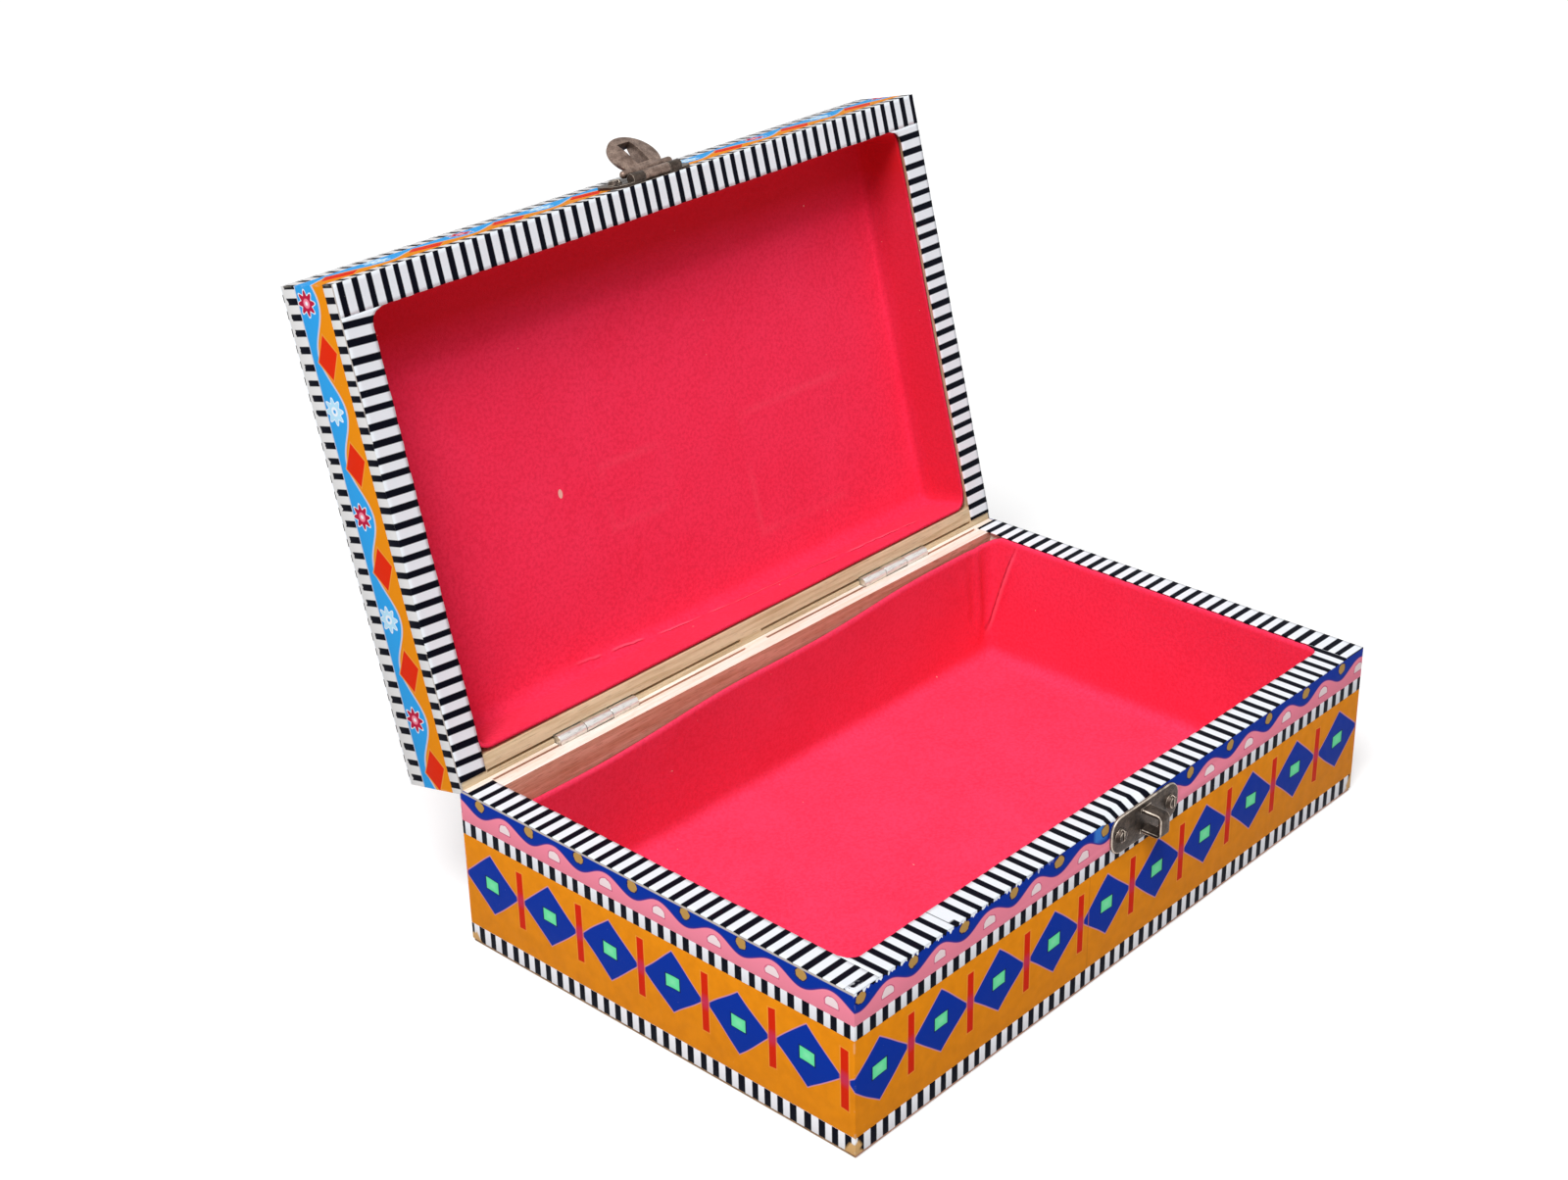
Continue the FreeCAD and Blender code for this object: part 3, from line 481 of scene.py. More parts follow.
def draw_waves(surface):
    """Waves round the base, with cut edges, a ragged fold in front and a glint beside the catch."""
    height = surface.z - WAVE_Z
    nx, ny, _ = surface.facing()
    front = ny.under(-0.7)
    # The glint is a painted highlight: a paler blue on the front beside the catch.
    glint = abs(surface.x - SHINE_X).under(SHINE_HALF, 0.6) * height.over(-0.6, 0.9) * front
    colour = waves(surface, surface.round_box(), height, surface.paint(BLUE, SHINE, glint * 0.55))
    colour = surface.paint(colour, CUT_EDGE, surface.z.over(BASE_RIM - CUT_HEIGHT, 0.1) * nx.under(-0.7))
    depth = surface.ripple(surface.x, 0.9, 6.0) * RAGGED_DEPTH
    fold = surface.z.over(BASE_RIM + RAGGED_RISE - depth, 0.06)
    ragged = fold * surface.x.under(RAGGED_END, 6.0) * front
    return surface.paint(colour, stripes("front")(surface), ragged)


# Flowers on the sides of the lid, and the sheet on its top

FLOWER_PITCH = 25.9
FLOWER_Z = 12.5
FLOWER_RADIUS = 2.5
FLOWER_RIM = 0.4
EYE_RADIUS = 1.15
PUPIL_RADIUS = 0.5
PETALS = 8.0
PETAL_DEPTH = 0.6
SKY_LINE_Z = 10.4
SKY_LINE_HEIGHT = 2.6
SKY_LINE_HALF = 0.3
SKY_TOP = 15.6
LOZENGE_START = 5.2
LOZENGE_Z = 9.6
LOZENGE_HALF = (5.7, 4.2)
LOZENGE_LEAN = 0.25
TOP_EDGE_DASHES = 5.2
TOP_WAVE_MIDDLE = 9.3
TOP_WAVES = 13.6
TOP_INNER_DASHES = 17.5


def draw_flowers(surface):
    """Orange below and sky blue above a wavy line, with red lozenges and small flowers."""
    along = surface.round_box()
    height = surface.z - HINGE.z
    above = height - (along.wave(FLOWER_PITCH, LOZENGE_START) * SKY_LINE_HEIGHT + SKY_LINE_Z)
    colour = surface.paint(ORANGE, SKY, above.over(0.0, 0.08))
    colour = surface.paint(colour, LAVENDER, abs(above).under(SKY_LINE_HALF, 0.1))
    colour = surface.paint(colour, LAVENDER, height.over(SKY_TOP, 0.12))
    side = along.cell(FLOWER_PITCH, LOZENGE_START)
    up = height - LOZENGE_Z
    lozenge = abs(side + up * LOZENGE_LEAN) / LOZENGE_HALF[0] + abs(up) / LOZENGE_HALF[1]
    colour = surface.paint(colour, AMBER, lozenge.under(1.05, 0.03))
    colour = surface.paint(colour, SCARLET, lozenge.under(0.95, 0.03))
    middle = LOZENGE_START + FLOWER_PITCH / 2
    across = along.cell(FLOWER_PITCH, middle)
    up = height - FLOWER_Z
    angle = up.math("ARCTAN2", across)
    radius = (across * across + up * up).root()
    petals = radius - ((angle * PETALS).math("COSINE") * PETAL_DEPTH + FLOWER_RADIUS)
    odd = (((along - middle) / FLOWER_PITCH + 0.5).floor() * 0.5).fract().over(0.25)
    colour = surface.paint(colour, WHITE, petals.under(FLOWER_RIM, 0.12))
    colour = surface.paint(colour, surface.paint(CRIMSON, PALE_SKY, odd), petals.under(0.05, 0.12))
    colour = surface.paint(colour, surface.paint(PINK, WHITE, odd), radius.under(EYE_RADIUS, 0.15))
    return surface.paint(colour, surface.paint(WHITE, SKY, odd), radius.under(PUPIL_RADIUS, 0.15))


def draw_top(surface):
    """The sheet on the lid: a dashed edge, a wavy band, another dashed line and rows of diamonds."""
    inset_x = HALF_WIDTH - abs(surface.x)
    inset_y = HALF_DEPTH - abs(surface.y)
    inset = inset_x.least(inset_y)
    along = (inset_y - inset_x).over(0.0).pick(surface.x, surface.y)
    rows = surface.y.cell(DIAMOND_PITCH, DIAMOND_PITCH / 2)
    colour = diamonds(surface, surface.x, rows)
    black = surface.paint(WHITE, BLACK, dashes(surface, along, DASH_SHARE))
    colour = surface.paint(colour, black, inset.under(TOP_INNER_DASHES))
    colour = surface.paint(colour, waves(surface, along, inset - TOP_WAVE_MIDDLE), inset.under(TOP_WAVES))
    return surface.paint(colour, black, inset.under(TOP_EDGE_DASHES))


# Materials: paper, wood, felt and metal

WORN_CORNER = 0.3
BARE_FOOT = 3.8
FOOT_SLOPE = 0.6
STAINED_WOOD = ("dcaa94", "bb8468", "8a4f38")
LINT = tint("f0cdbc")
LINT_SPOT = (-39.0, 8.3)
LINT_HALF = (0.7, 1.2)
PRESSED = tint("ff5e76")
PRESS_MARKS = (((52.0, 24.5), (25.0, 17.0)), ((-12.7, 14.4), (11.3, 8.3)))
PRESS_HALF = 1.0
PRESS_FADE = 0.7
END_SHADE = tint("a8101e")
LID_SHADE = 16.0
SHEEN = tint("ff9aa8")
SCRATCH = tint("8f8c88")
CREASE_SHADE = tint("8f0f22")
CREASE_HIGHLIGHT = tint("ff6d88")
CREASE_WIDTH = 0.6
CREASE_SWAY = 2.4
CREASE_WOBBLE = 0.9
BASE_CREASE_BAND = 3.0
LID_CREASE_BAND = 7.0
BASE_CREASE = (Vector((FELT_X, 46, 40)), Vector((FELT_X, 54, 14)))
LID_CREASE = (Vector((-45, FELT_Y - 2.5, LID_CEILING - 0.5)), Vector((78, FELT_Y, LID_CEILING - 12)))


def paper(name, draw, lid=False):
    """A printed paper: its print, soft fibres, worn corners, bare feet and a satin surface."""
    surface = Surface(name, specular=0.04).place(lid)
    colour = draw(surface)
    fleck = surface.noise(1.6, 4.0)
    colour = surface.paint(colour, CREAM, fleck.over(0.76, 0.03) * 0.15)
    corner = (HALF_WIDTH - abs(surface.x)).most(HALF_DEPTH - abs(surface.y))
    worn = corner.under(WORN_CORNER, 0.25) * surface.noise(0.5, 3.0, seed=6.0).over(0.55, 0.06)
    colour = surface.paint(colour, CREAM, worn * 0.2)
    foot = corner + surface.z * FOOT_SLOPE
    bare = foot.under(BARE_FOOT, 0.4) * surface.noise(0.22, 2.0, seed=11.0).over(0.45, 0.04)
    colour = surface.paint(colour, TAN, bare)
    surface.colour(colour)
    surface.roughness(0.5, 0.7, surface.noise(0.35, 3.0, seed=3.0))
    surface.bump(surface.noise(0.12, 3.0) * 0.7 + surface.noise(4.0, 2.0) * 0.3, 0.12, 0.5)
    return surface.material


def wood(name, tones, lid=False, grain="x"):
    """Sawn softwood with its grain along one axis, from a pale, a dark and a line tone."""
    surface = Surface(name, specular=0.2).place(lid)
    stretch = {"x": (0.05, 1, 1), "y": (1, 0.05, 1)}[grain]
    rings = surface.noise(0.9, 4.0, stretch)
    fibres = surface.noise(5.0, 3.0, stretch, seed=5.0)
    pale, dark, line = (tint(code) for code in tones)
    colour = surface.paint(pale, dark, rings.over(0.56, 0.14))
    colour = surface.paint(colour, line, fibres.over(0.66, 0.08) * 0.5)
    if not lid:
        _, ny, _ = surface.facing()
        pale, dark, line = (tint(code) for code in STAINED_WOOD)
        stain = surface.paint(pale, dark, rings.over(0.5, 0.2))
        stain = surface.paint(stain, line, fibres.over(0.62, 0.08) * 0.7)
        colour = surface.paint(colour, stain, ny.under(-0.7, 0.1))
    surface.colour(colour)
    surface.roughness(0.55, 0.8, fibres)
    surface.bump(fibres, 0.15, 0.6)
    return surface.material


def base_crease(surface):
    """Distance off the crease in the base's rear right corner, and a mask of the crease's reach."""
    start, end = BASE_CREASE
    off = surface.y - start.y - (surface.z - start.z) * ((end.y - start.y) / (end.z - start.z))
    reach = abs(surface.z - (start.z + end.z) / 2).under((start.z - end.z) / 2, 3.0)
    return off, reach * surface.x.over(FELT_X - BASE_CREASE_BAND)


def lid_crease(surface):
    """Distance off the broken crease along the lid's rear corner, and a mask of the crease's reach."""
    start, end = LID_CREASE
    fall = ((end.y - end.z) - (start.y - start.z)) / (end.x - start.x)
    off = (surface.y - surface.z) - (start.y - start.z) - (surface.x - start.x) * fall
    off = off + surface.wander(surface.x, 0.05, 3.0, CREASE_SWAY)
    off = off + surface.wander(surface.x, 0.3, 8.0, CREASE_WOBBLE)
    reach = abs(surface.x - (start.x + end.x) / 2).under((end.x - start.x) / 2, 6.0)
    reach = reach * surface.y.over(FELT_Y - LID_CREASE_BAND)
    return off, reach * surface.ripple(surface.x, 0.12, 17.0).over(0.42, 0.12)


def draw_crease(surface, colour, off, reach):
    """A fold in felt drawn as a painted shade line with a painted highlight beside it, at a distance off the line.
    """
    # Painted shade on one side of the fold and a painted highlight on the other.
    dark = off.over(0.0, 0.15) * off.under(CREASE_WIDTH, 0.2) * reach
    pale = off.under(0.0, 0.15) * off.over(-CREASE_WIDTH - 0.1, 0.3) * reach
    colour = surface.paint(colour, CREASE_SHADE, dark * 0.6)
    return surface.paint(colour, CREASE_HIGHLIGHT, pale * 0.5)


def draw_lid_marks(surface, colour):
    """Painted shade on each end wall, a speck of lint and two faint pressed rectangles in the felt of the lid."""
    nx, _, _ = surface.facing()
    # Painted shade on each end wall of the lid's felt, chosen by facing.
    colour = surface.paint(colour, END_SHADE, abs(nx).over(0.6, 0.2) * 0.5)
    speck = oval(surface.x - LINT_SPOT[0], surface.y - LINT_SPOT[1], LINT_HALF).under(1.0, 0.2)
    colour = surface.paint(colour, LINT, speck * 0.8)
    faint = surface.noise(0.05, 2.0, seed=33.0).over(0.42, 0.08) * surface.z.over(LID_CEILING - 1.0)
    for middle, half in PRESS_MARKS:
        across = abs(surface.x - middle[0]) - half[0]
        ring = abs(across.most(abs(surface.y - middle[1]) - half[1]))
        ring = ring.under(PRESS_HALF, 0.9) * surface.x.under(middle[0] + half[0] * PRESS_FADE, 6.0)
        colour = surface.paint(colour, PRESSED, ring * faint * 0.16)
    return colour


def felt(name, tones, lid=False):
    """Red felt with a short nap, faint blotches, painted shade on each upright wall face and a painted shadow
    under the lid's front wall, one crease drawn with painted shade and highlight, and a few specks of lint.
    """
    surface = Surface(name, roughness=0.95, specular=0.1).place(lid)
    blotch = surface.noise(0.06, 4.0)
    nap = surface.noise(3.2, 4.0, seed=7.0)
    grain = surface.noise(1.1, 3.0, seed=16.0)
    deep, bright, shade, wall = (tint(code) for code in tones)
    colour = surface.paint(deep, bright, blotch)
    colour = surface.paint(colour, shade, nap.over(0.58, 0.16) * 0.3)
    colour = surface.paint(colour, shade, grain.over(0.56, 0.1) * 0.28)
    colour = surface.paint(colour, bright, grain.under(0.42, 0.1) * 0.35)
    if lid:
        colour = draw_lid_marks(surface, colour)
        # Painted shadow of the lid's front wall on the upper ceiling, in the fourth felt tone.
        painted_shade = surface.y.under(LID_SHADE - FELT_Y, 6.0) * 0.75
        off, reach = lid_crease(surface)
    else:
        _, _, nz = surface.facing()
        # Painted shade: the upright faces of the base's felt are darker, in the fourth felt tone.
        painted_shade = abs(nz).under(0.5, 0.3) * 0.35
        off, reach = base_crease(surface)
    colour = surface.paint(colour, wall, painted_shade)
    colour = draw_crease(surface, colour, off, reach)
    lint = surface.noise(0.55, 1.0, seed=21.0).over(0.835, 0.012)
    colour = surface.paint(colour, LINT, lint * 0.7)
    surface.colour(colour)
    surface.shader.inputs["Sheen Weight"].default_value = 0.1
    surface.shader.inputs["Sheen Roughness"].default_value = 0.6
    surface.shader.inputs["Sheen Tint"].default_value = SHEEN
    surface.bump(nap * 0.6 + blotch * 0.4, 0.35, 0.45)
    return surface.material


def bronze(name, tones, lid=False):
    """Darkened bronze in two tones with dark grains, and a pale tone on its outer edges that is both edge wear and
    a painted highlight.
    """
    surface = Surface(name, metallic=0.8).place(lid)
    low, high, grain, edge = (tint(code) for code in tones)
    patches = surface.noise(0.5, 4.0)
    grains = surface.noise(3.0, 3.0, seed=8.0)
    colour = surface.paint(low, high, patches.over(0.5, 0.2))
    colour = surface.paint(colour, grain, grains.over(0.6, 0.12) * 0.7)
    # The pale edge tone is wear on the outer edges and also a painted highlight.
    worn = surface.tree.nodes.new("ShaderNodeAttribute")
    worn.attribute_name = "worn"
    rubbed_and_highlit = Field(surface.tree, worn.outputs["Fac"]) * patches.over(0.4, 0.15)
    colour = surface.paint(colour, edge, rubbed_and_highlit * 0.85)
    surface.colour(colour)
    surface.roughness(0.34, 0.6, grains)
    surface.bump(grains, 0.1, 0.5)
    return surface.material


def steel(name, code, lid=False):
    """Plated steel with fine scratches along the barrel."""
    surface = Surface(name, metallic=0.9).place(lid)
    scratches = surface.noise(6.0, 2.0, (0.1, 1, 1))
    colour = surface.paint(tint(code), SCRATCH, scratches.over(0.62, 0.1) * 0.6)
    surface.colour(colour)
    surface.roughness(0.24, 0.45, scratches)
    surface.bump(scratches, 0.03, 0.4)
    return surface.material


# Pieces that stand for CAD nodes

SAME_POINT_METRES = 1e-6
FLAT_ANGLE = 0.5
SHARP_ANGLE = 35
SMOOTH_ANGLE = 40
EDGE_SEGMENTS = 2


def add_mesh(name, mesh, material, node):
    """Link a finished mesh as a piece that rides with the node it stands for."""
    mesh.materials.clear()
    mesh.materials.append(material)
    piece = bpy.data.objects.new(name, mesh)
    bpy.context.scene.collection.objects.link(piece)
    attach(piece, body_of[node])
    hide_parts(node)
    return piece


def softened(node, width, material):
    """The node's own shape with its edges rounded by a width, and its outer edges marked in a layer named worn,
    where the bronze paints wear and a highlight.
    """
    work = bmesh.new()
    work.from_mesh(frame["nodes"][node].data)
    worn = work.faces.layers.float.new("worn")
    bmesh.ops.remove_doubles(work, verts=work.verts, dist=SAME_POINT_METRES)
    bmesh.ops.dissolve_limit(work, angle_limit=math.radians(FLAT_ANGLE), verts=work.verts, edges=work.edges)
    sharp = [
        edge for edge in work.edges
        if len(edge.link_faces) == 2 and edge.calc_face_angle(0.0) > math.radians(SHARP_ANGLE)
    ]
    made = bmesh.ops.bevel(work, geom=sharp, offset=width / METRE, segments=EDGE_SEGMENTS, profile=0.5,
                           affect="EDGES", clamp_overlap=True)
    work.normal_update()
    for face in made["faces"]:
        middle = face.calc_center_median()
        beside = [other for edge in face.edges for other in edge.link_faces if other is not face]
        rise = sum((other.calc_center_median() - middle).dot(face.normal) for other in beside)
        face[worn] = 1.0 if rise < 0 else 0.0
    bmesh.ops.triangulate(work, faces=[face for face in work.faces if len(face.verts) > 4])
    mesh = bpy.data.meshes.new(f"{node}_shape")
    work.to_mesh(mesh)
    work.free()
    mesh.shade_smooth()
    mesh.set_sharp_from_angle(angle=math.radians(SMOOTH_ANGLE))
    return add_mesh(f"{node}_shape", mesh, material, node)


def grid_mesh(rows, closed=False):
    """A mesh through rows of points, in metres; closed rows join their ends."""
    work = bmesh.new()
    verts = [[work.verts.new(point) for point in row] for row in rows]
    for first, second in zip(verts, verts[1:]):
        count = len(first)
        for at in range(count if closed else count - 1):
            after = (at + 1) % count
            work.faces.new((first[at], first[after], second[after], second[at]))
    return work, verts


def finish_sheet(name, work, thickness):
    """Turn a single surface into a smooth sheet of a thickness, in millimetres."""
    mesh = bpy.data.meshes.new(name)
    work.to_mesh(mesh)
    work.free()
    holder = bpy.data.objects.new(f"{name}_holder", mesh)
    bpy.context.scene.collection.objects.link(holder)
    solid = holder.modifiers.new("thickness", "SOLIDIFY")
    solid.thickness = thickness / METRE
    solid.offset = -1.0
    graph = bpy.context.evaluated_depsgraph_get()
    made = bpy.data.meshes.new_from_object(holder.evaluated_get(graph))
    bpy.data.objects.remove(holder)
    made.name = name
    made.shade_smooth()
    return made


# Felt linings

LINING_CORNER = 4.0
LEAST_RADIUS = 0.01
SIDE_STEP = 1.2
CORNER_STEPS = 5
WALL_STEPS = 22
FLOOR_STEPS = 34
FELT_THICKNESS = 0.9
EDGE_DROP = 0.3
REAR_DROP = 4.5
REAR_DROP_SLOPE = 3.0
REAR_DROP_WAVE = 0.5
REAR_WAVE_REACH = 13.0
LID_REAR_DROP = 0.1
LID_RIGHT_DROP = 1.1
BASE_SWELL = 0.35
BASE_SWELL_SIZE = 26.0
LID_SWELL = 0.3
LID_SWELL_SIZE = 30.0
LID_SWELL_SEED = Vector((40, 7, 3))
# Each fold is its start, its end, its width and its height.
BASE_FOLDS = (
    (*BASE_CREASE, 1.0, 1.6),
    (Vector((86, FELT_Y, 41)), Vector((89, FELT_Y, 12)), 1.2, 1.0),
    (Vector((80, FELT_Y, 36)), Vector((84, FELT_Y, 20)), 1.1, 0.6),
)
LID_FOLD = (*LID_CREASE, 1.2, 1.1)


def rounded_loop(half_x, half_y, radius):
    """Points of a rounded rectangle, as many for every size, from the rear right corner round."""
    count_x = int(2 * FELT_X / SIDE_STEP)
    count_y = int(2 * FELT_Y / SIDE_STEP)
    points = []
    for turn, (sign_x, sign_y) in enumerate(((1, 1), (-1, 1), (-1, -1), (1, -1))):
        middle = Vector((sign_x * (half_x - radius), sign_y * (half_y - radius)))
        for step in range(CORNER_STEPS + 1):
            angle = math.radians(90 * (turn + step / CORNER_STEPS))
            points.append(middle + radius * Vector((math.cos(angle), math.sin(angle))))
        start = points[-1]
        along_x = turn % 2 == 0
        sign = -1 if turn < 2 else 1
        run = 2 * ((half_x if along_x else half_y) - radius) * sign
        count = count_x if along_x else count_y
        for step in range(1, count):
            share = run * step / count
            points.append(start + (Vector((share, 0)) if along_x else Vector((0, share))))
    return points


def tray_rows(mouth, floor, direction, edge_drop):
    """Rings of points of a tray, from the edge of its mouth down and in to near its middle."""
    knee = floor + direction * LINING_CORNER
    rows = []
    loop = rounded_loop(FELT_X, FELT_Y, LINING_CORNER)
    for step in range(WALL_STEPS + 1):
        row = []
        for point in loop:
            top = mouth - direction * edge_drop(point.x, point.y)
            row.append(Vector((point.x, point.y, top + (knee - top) * step / WALL_STEPS)))
        rows.append(row)
    for step in range(1, CORNER_STEPS + 1):
        angle = math.radians(90 * step / CORNER_STEPS)
        inset = LINING_CORNER * (1 - math.cos(angle))
        height = knee - direction * LINING_CORNER * math.sin(angle)
        ring = rounded_loop(FELT_X - inset, FELT_Y - inset, max(LINING_CORNER - inset, LEAST_RADIUS))
        rows.append([Vector((point.x, point.y, height)) for point in ring])
    last = rows[-1]
    for step in range(1, FLOOR_STEPS):
        share = 1 - step / FLOOR_STEPS
        rows.append([Vector((point.x * share, point.y * share, floor)) for point in last])
    return rows


def away_from_board(point, inward):
    """Direction from the board behind the felt: off the nearest wall, or inward over the floor."""
    gap_x = FELT_X - abs(point.x)
    gap_y = FELT_Y - abs(point.y)
    to_middle = Vector((-point.x, 0, 0)) if gap_x < gap_y else Vector((0, -point.y, 0))
    side = to_middle.normalized() if to_middle.length else inward
    share = min(max(min(gap_x, gap_y) / LINING_CORNER, 0), 1)
    return (side * (1 - share) + inward * share).normalized()


def lining(node, mouth, floor, edge_drop, relief, material, place):
    """A felt tray from its mouth to its floor, with a mouth edge and relief of its own."""
    direction = 1 if floor < mouth else -1
    inward = Vector((0, 0, direction))

    def raised(point):
        return (place @ (point + away_from_board(point, inward) * relief(point))) / METRE

    rows = tray_rows(mouth, floor, direction, edge_drop)
    work, verts = grid_mesh([[raised(point) for point in row] for row in rows], closed=True)
    centre = work.verts.new(raised(Vector((0, 0, floor))))
    inner = verts[-1]
    for at in range(len(inner)):
        work.faces.new((inner[at], inner[(at + 1) % len(inner)], centre))
    bmesh.ops.recalc_face_normals(work, faces=work.faces)
    if (place.to_3x3() @ inward).dot(centre.link_faces[0].normal) < 0:
        bmesh.ops.reverse_faces(work, faces=work.faces)
    name = f"{node}_felt"
    piece = add_mesh(name, finish_sheet(name, work, FELT_THICKNESS), material, node)
    depth = abs(mouth - floor)
    wide, long = 2 * (FELT_X + depth), 2 * (FELT_Y + depth)
    area = 4 * FELT_X * FELT_Y + 4 * (FELT_X + FELT_Y) * depth
    wide / METRE
    long / METRE
    area / METRE ** 2
    node.replace("lining", "floor_panel" if direction > 0 else "top_panel")
    return piece


def ridge(point, start, end, width, height):
    """Height of a soft ridge along the line between two points."""
    run = end - start
    share = min(max((point - start).dot(run) / run.length_squared, 0), 1)
    distance = (point - start - run * share).length
    fade = math.sin(math.pi * share) ** 0.5 if 0 < share < 1 else 0
    return height * fade * math.exp(-(distance / width) ** 2)


def near(value, edge):
    """Zero well inside an edge of the felt, and one at the edge."""
    return min(max((value - edge + LINING_CORNER) / LINING_CORNER, 0.0), 1.0)


def base_edge_drop(x, y):
    """Bare wood above the felt: none in front, a slope along the rear wall."""
    slope = REAR_DROP - REAR_DROP_SLOPE * x / FELT_X
    return EDGE_DROP + near(y, FELT_Y) * (slope + REAR_DROP_WAVE * math.sin(x / REAR_WAVE_REACH))


def base_relief(point):
    """Soft swells all over, and the folds in the rear right corner."""
    swell = BASE_SWELL * (noise.noise(point / BASE_SWELL_SIZE) + 1)
    return swell + sum(ridge(point, *fold) for fold in BASE_FOLDS)


def lid_edge_drop(x, y):
    """Bare wood round the mouth of the lid: most at the right end."""
    return EDGE_DROP + LID_REAR_DROP * near(y, FELT_Y) + LID_RIGHT_DROP * near(x, FELT_X)


def lid_relief(point):
    """Soft swells, and a long wrinkle where the felt bridges the rear corner of the lid."""
    swell = LID_SWELL * (noise.noise((point + LID_SWELL_SEED) / LID_SWELL_SIZE) + 1)
    return swell + ridge(point, *LID_FOLD)


# Striped papers on the rims

RIM_STEP = 0.75
RIM_ACROSS = 8
RIM_RAGGED = 0.16
RIM_RAGGED_SIZE = 2.3
OUTER_SEED = Vector((9, 4, 2))
RIM_LIFT = 0.05
RIM_LIFT_SIZE = (9, 5)
RIM_SINK = 0.1
RIM_THICKNESS = PAPER - 0.06
SCOOP_RADIUS = 43.0
SCOOP_DEPTH = 1.4
SCOOP_SLOPE = math.radians(30)
SCOOP_SHIFT = 5.5
SCOOP_X = LATCH_X - SCOOP_SHIFT
SCOOP_LEAST = 0.02


def scoop_depth(x):
    """Depth of the hollow in the front edge behind the catch."""
    away = abs(x - SCOOP_X)
    if away >= SCOOP_RADIUS:
        return 0.0
    return max(0.0, math.sqrt(SCOOP_RADIUS ** 2 - away ** 2) - SCOOP_RADIUS + SCOOP_DEPTH)


def dip_row(row, x):
    """Bend the outer end of a row down over the hollow."""
    depth = scoop_depth(x)
    if depth < SCOOP_LEAST:
        return row
    bend = -HALF_DEPTH + PAPER + depth / math.sin(SCOOP_SLOPE)
    bent = []
    for px, py, pz in row:
        past = max(0.0, bend - py)
        bent.append([px, py, pz - past * math.tan(SCOOP_SLOPE)])
    return bent


def corner_fill(distance):
    """How far a strip reaches in at a distance from an inner corner, so that the corner is round."""
    if distance >= LINING_CORNER:
        return 0.0
    return LINING_CORNER - math.sqrt(LINING_CORNER ** 2 - (LINING_CORNER - distance) ** 2)


def rim_strip(node, start, end, inner, outer, level, place=None, dips=False, corners=()):
    """A striped strip on a rim from start to end, with round inner corners at some of its ends."""
    along_x = "front" in node
    inward = -math.copysign(1, inner)
    upward = 1 if place is None else -1
    count = int(abs(end - start) / RIM_STEP)
    rows = []
    for step in range(count + 1):
        run = start + (end - start) * step / count
        seed = Vector((run / RIM_RAGGED_SIZE, level, inner))
        low = inner + RIM_RAGGED * noise.noise(seed)
        low += inward * sum(corner_fill(abs(run - corner)) for corner in corners)
        high = outer - RIM_RAGGED * abs(noise.noise(seed + OUTER_SEED))
        row = []
        for part in range(RIM_ACROSS + 1):
            across = low + (high - low) * part / RIM_ACROSS
            place_of_lift = Vector((run / RIM_LIFT_SIZE[0], across / RIM_LIFT_SIZE[1], level))
            lift = RIM_LIFT * (noise.noise(place_of_lift) + 1)
            height = level + upward * lift
            row.append([run, across, height] if along_x else [across, run, height])
        rows.append(dip_row(row, run) if dips else row)
    turned = place or Matrix.Identity(4)
    work, _ = grid_mesh([[(turned @ Vector(point)) / METRE for point in row] for row in rows])
    work.faces.ensure_lookup_table()
    work.normal_update()
    if work.faces[0].normal.dot(turned.to_3x3() @ Vector((0, 0, upward))) < 0:
        bmesh.ops.reverse_faces(work, faces=work.faces)
    name = f"{node}_paper"
    return add_mesh(name, finish_sheet(name, work, RIM_THICKNESS), rim_papers[node], node)


# Papers on the sides and the top
PAPER_EDGE = 0.1
dashed_paper = paper("dashed_paper", draw_dashes)
lid_dashed_paper = paper("lid_dashed_paper", draw_lid_dashes, lid=True)
side_papers = {
    "base_lower_dash_strip": dashed_paper,
    "base_upper_dash_strip": dashed_paper,
    "base_diamond_strip": paper("diamond_paper", draw_diamonds),
    "base_wave_strip": paper("wave_paper", draw_waves),
    "lid_rim_dash_strip": lid_dashed_paper,
    "lid_top_dash_strip": lid_dashed_paper,
    "lid_flower_strip": paper("flower_paper", draw_flowers, lid=True),
    "lid_top_sheet": paper("top_paper", draw_top, lid=True),
}
for node, material in side_papers.items():
    softened(node, PAPER_EDGE, material)

# Papers on the rims
rim_papers = {
    "base_rim_strip_front": paper("base_rim_front_paper", torn_stripes("front")),
    "base_rim_strip_left": paper("base_rim_left_paper", torn_stripes("left")),
    "base_rim_strip_right": paper("base_rim_right_paper", stripes("right")),
}
for side, skew in (("front", 0.0), ("left", LID_STRIPE_SKEW), ("right", 0.0)):
    striped = stripes(side, LID_STRIPE_SHARE, skew)
    rim_papers[f"lid_rim_strip_{side}"] = paper(f"lid_rim_{side}_paper", striped, lid=True)
base_top = BASE_RIM + PAPER - RIM_SINK
lid_top = LID_RIM - PAPER + RIM_SINK
for side, sign in (("left", -1), ("right", 1)):
    rim_strip(f"base_rim_strip_{side}", -HALF_DEPTH, STRIP_REAR, sign * FELT_X, sign * HALF_WIDTH, base_top)
    rim_strip(f"lid_rim_strip_{side}", -FELT_Y, STRIP_REAR, sign * FELT_X, sign * HALF_WIDTH, lid_top,
              turn_open, corners=(-FELT_Y,))
rim_strip("base_rim_strip_front", -FELT_X, FELT_X, -FELT_Y, -HALF_DEPTH, base_top, dips=True,
          corners=(-FELT_X, FELT_X))
rim_strip("lid_rim_strip_front", -HALF_WIDTH, HALF_WIDTH, -FELT_Y, -HALF_DEPTH, lid_top, turn_open)

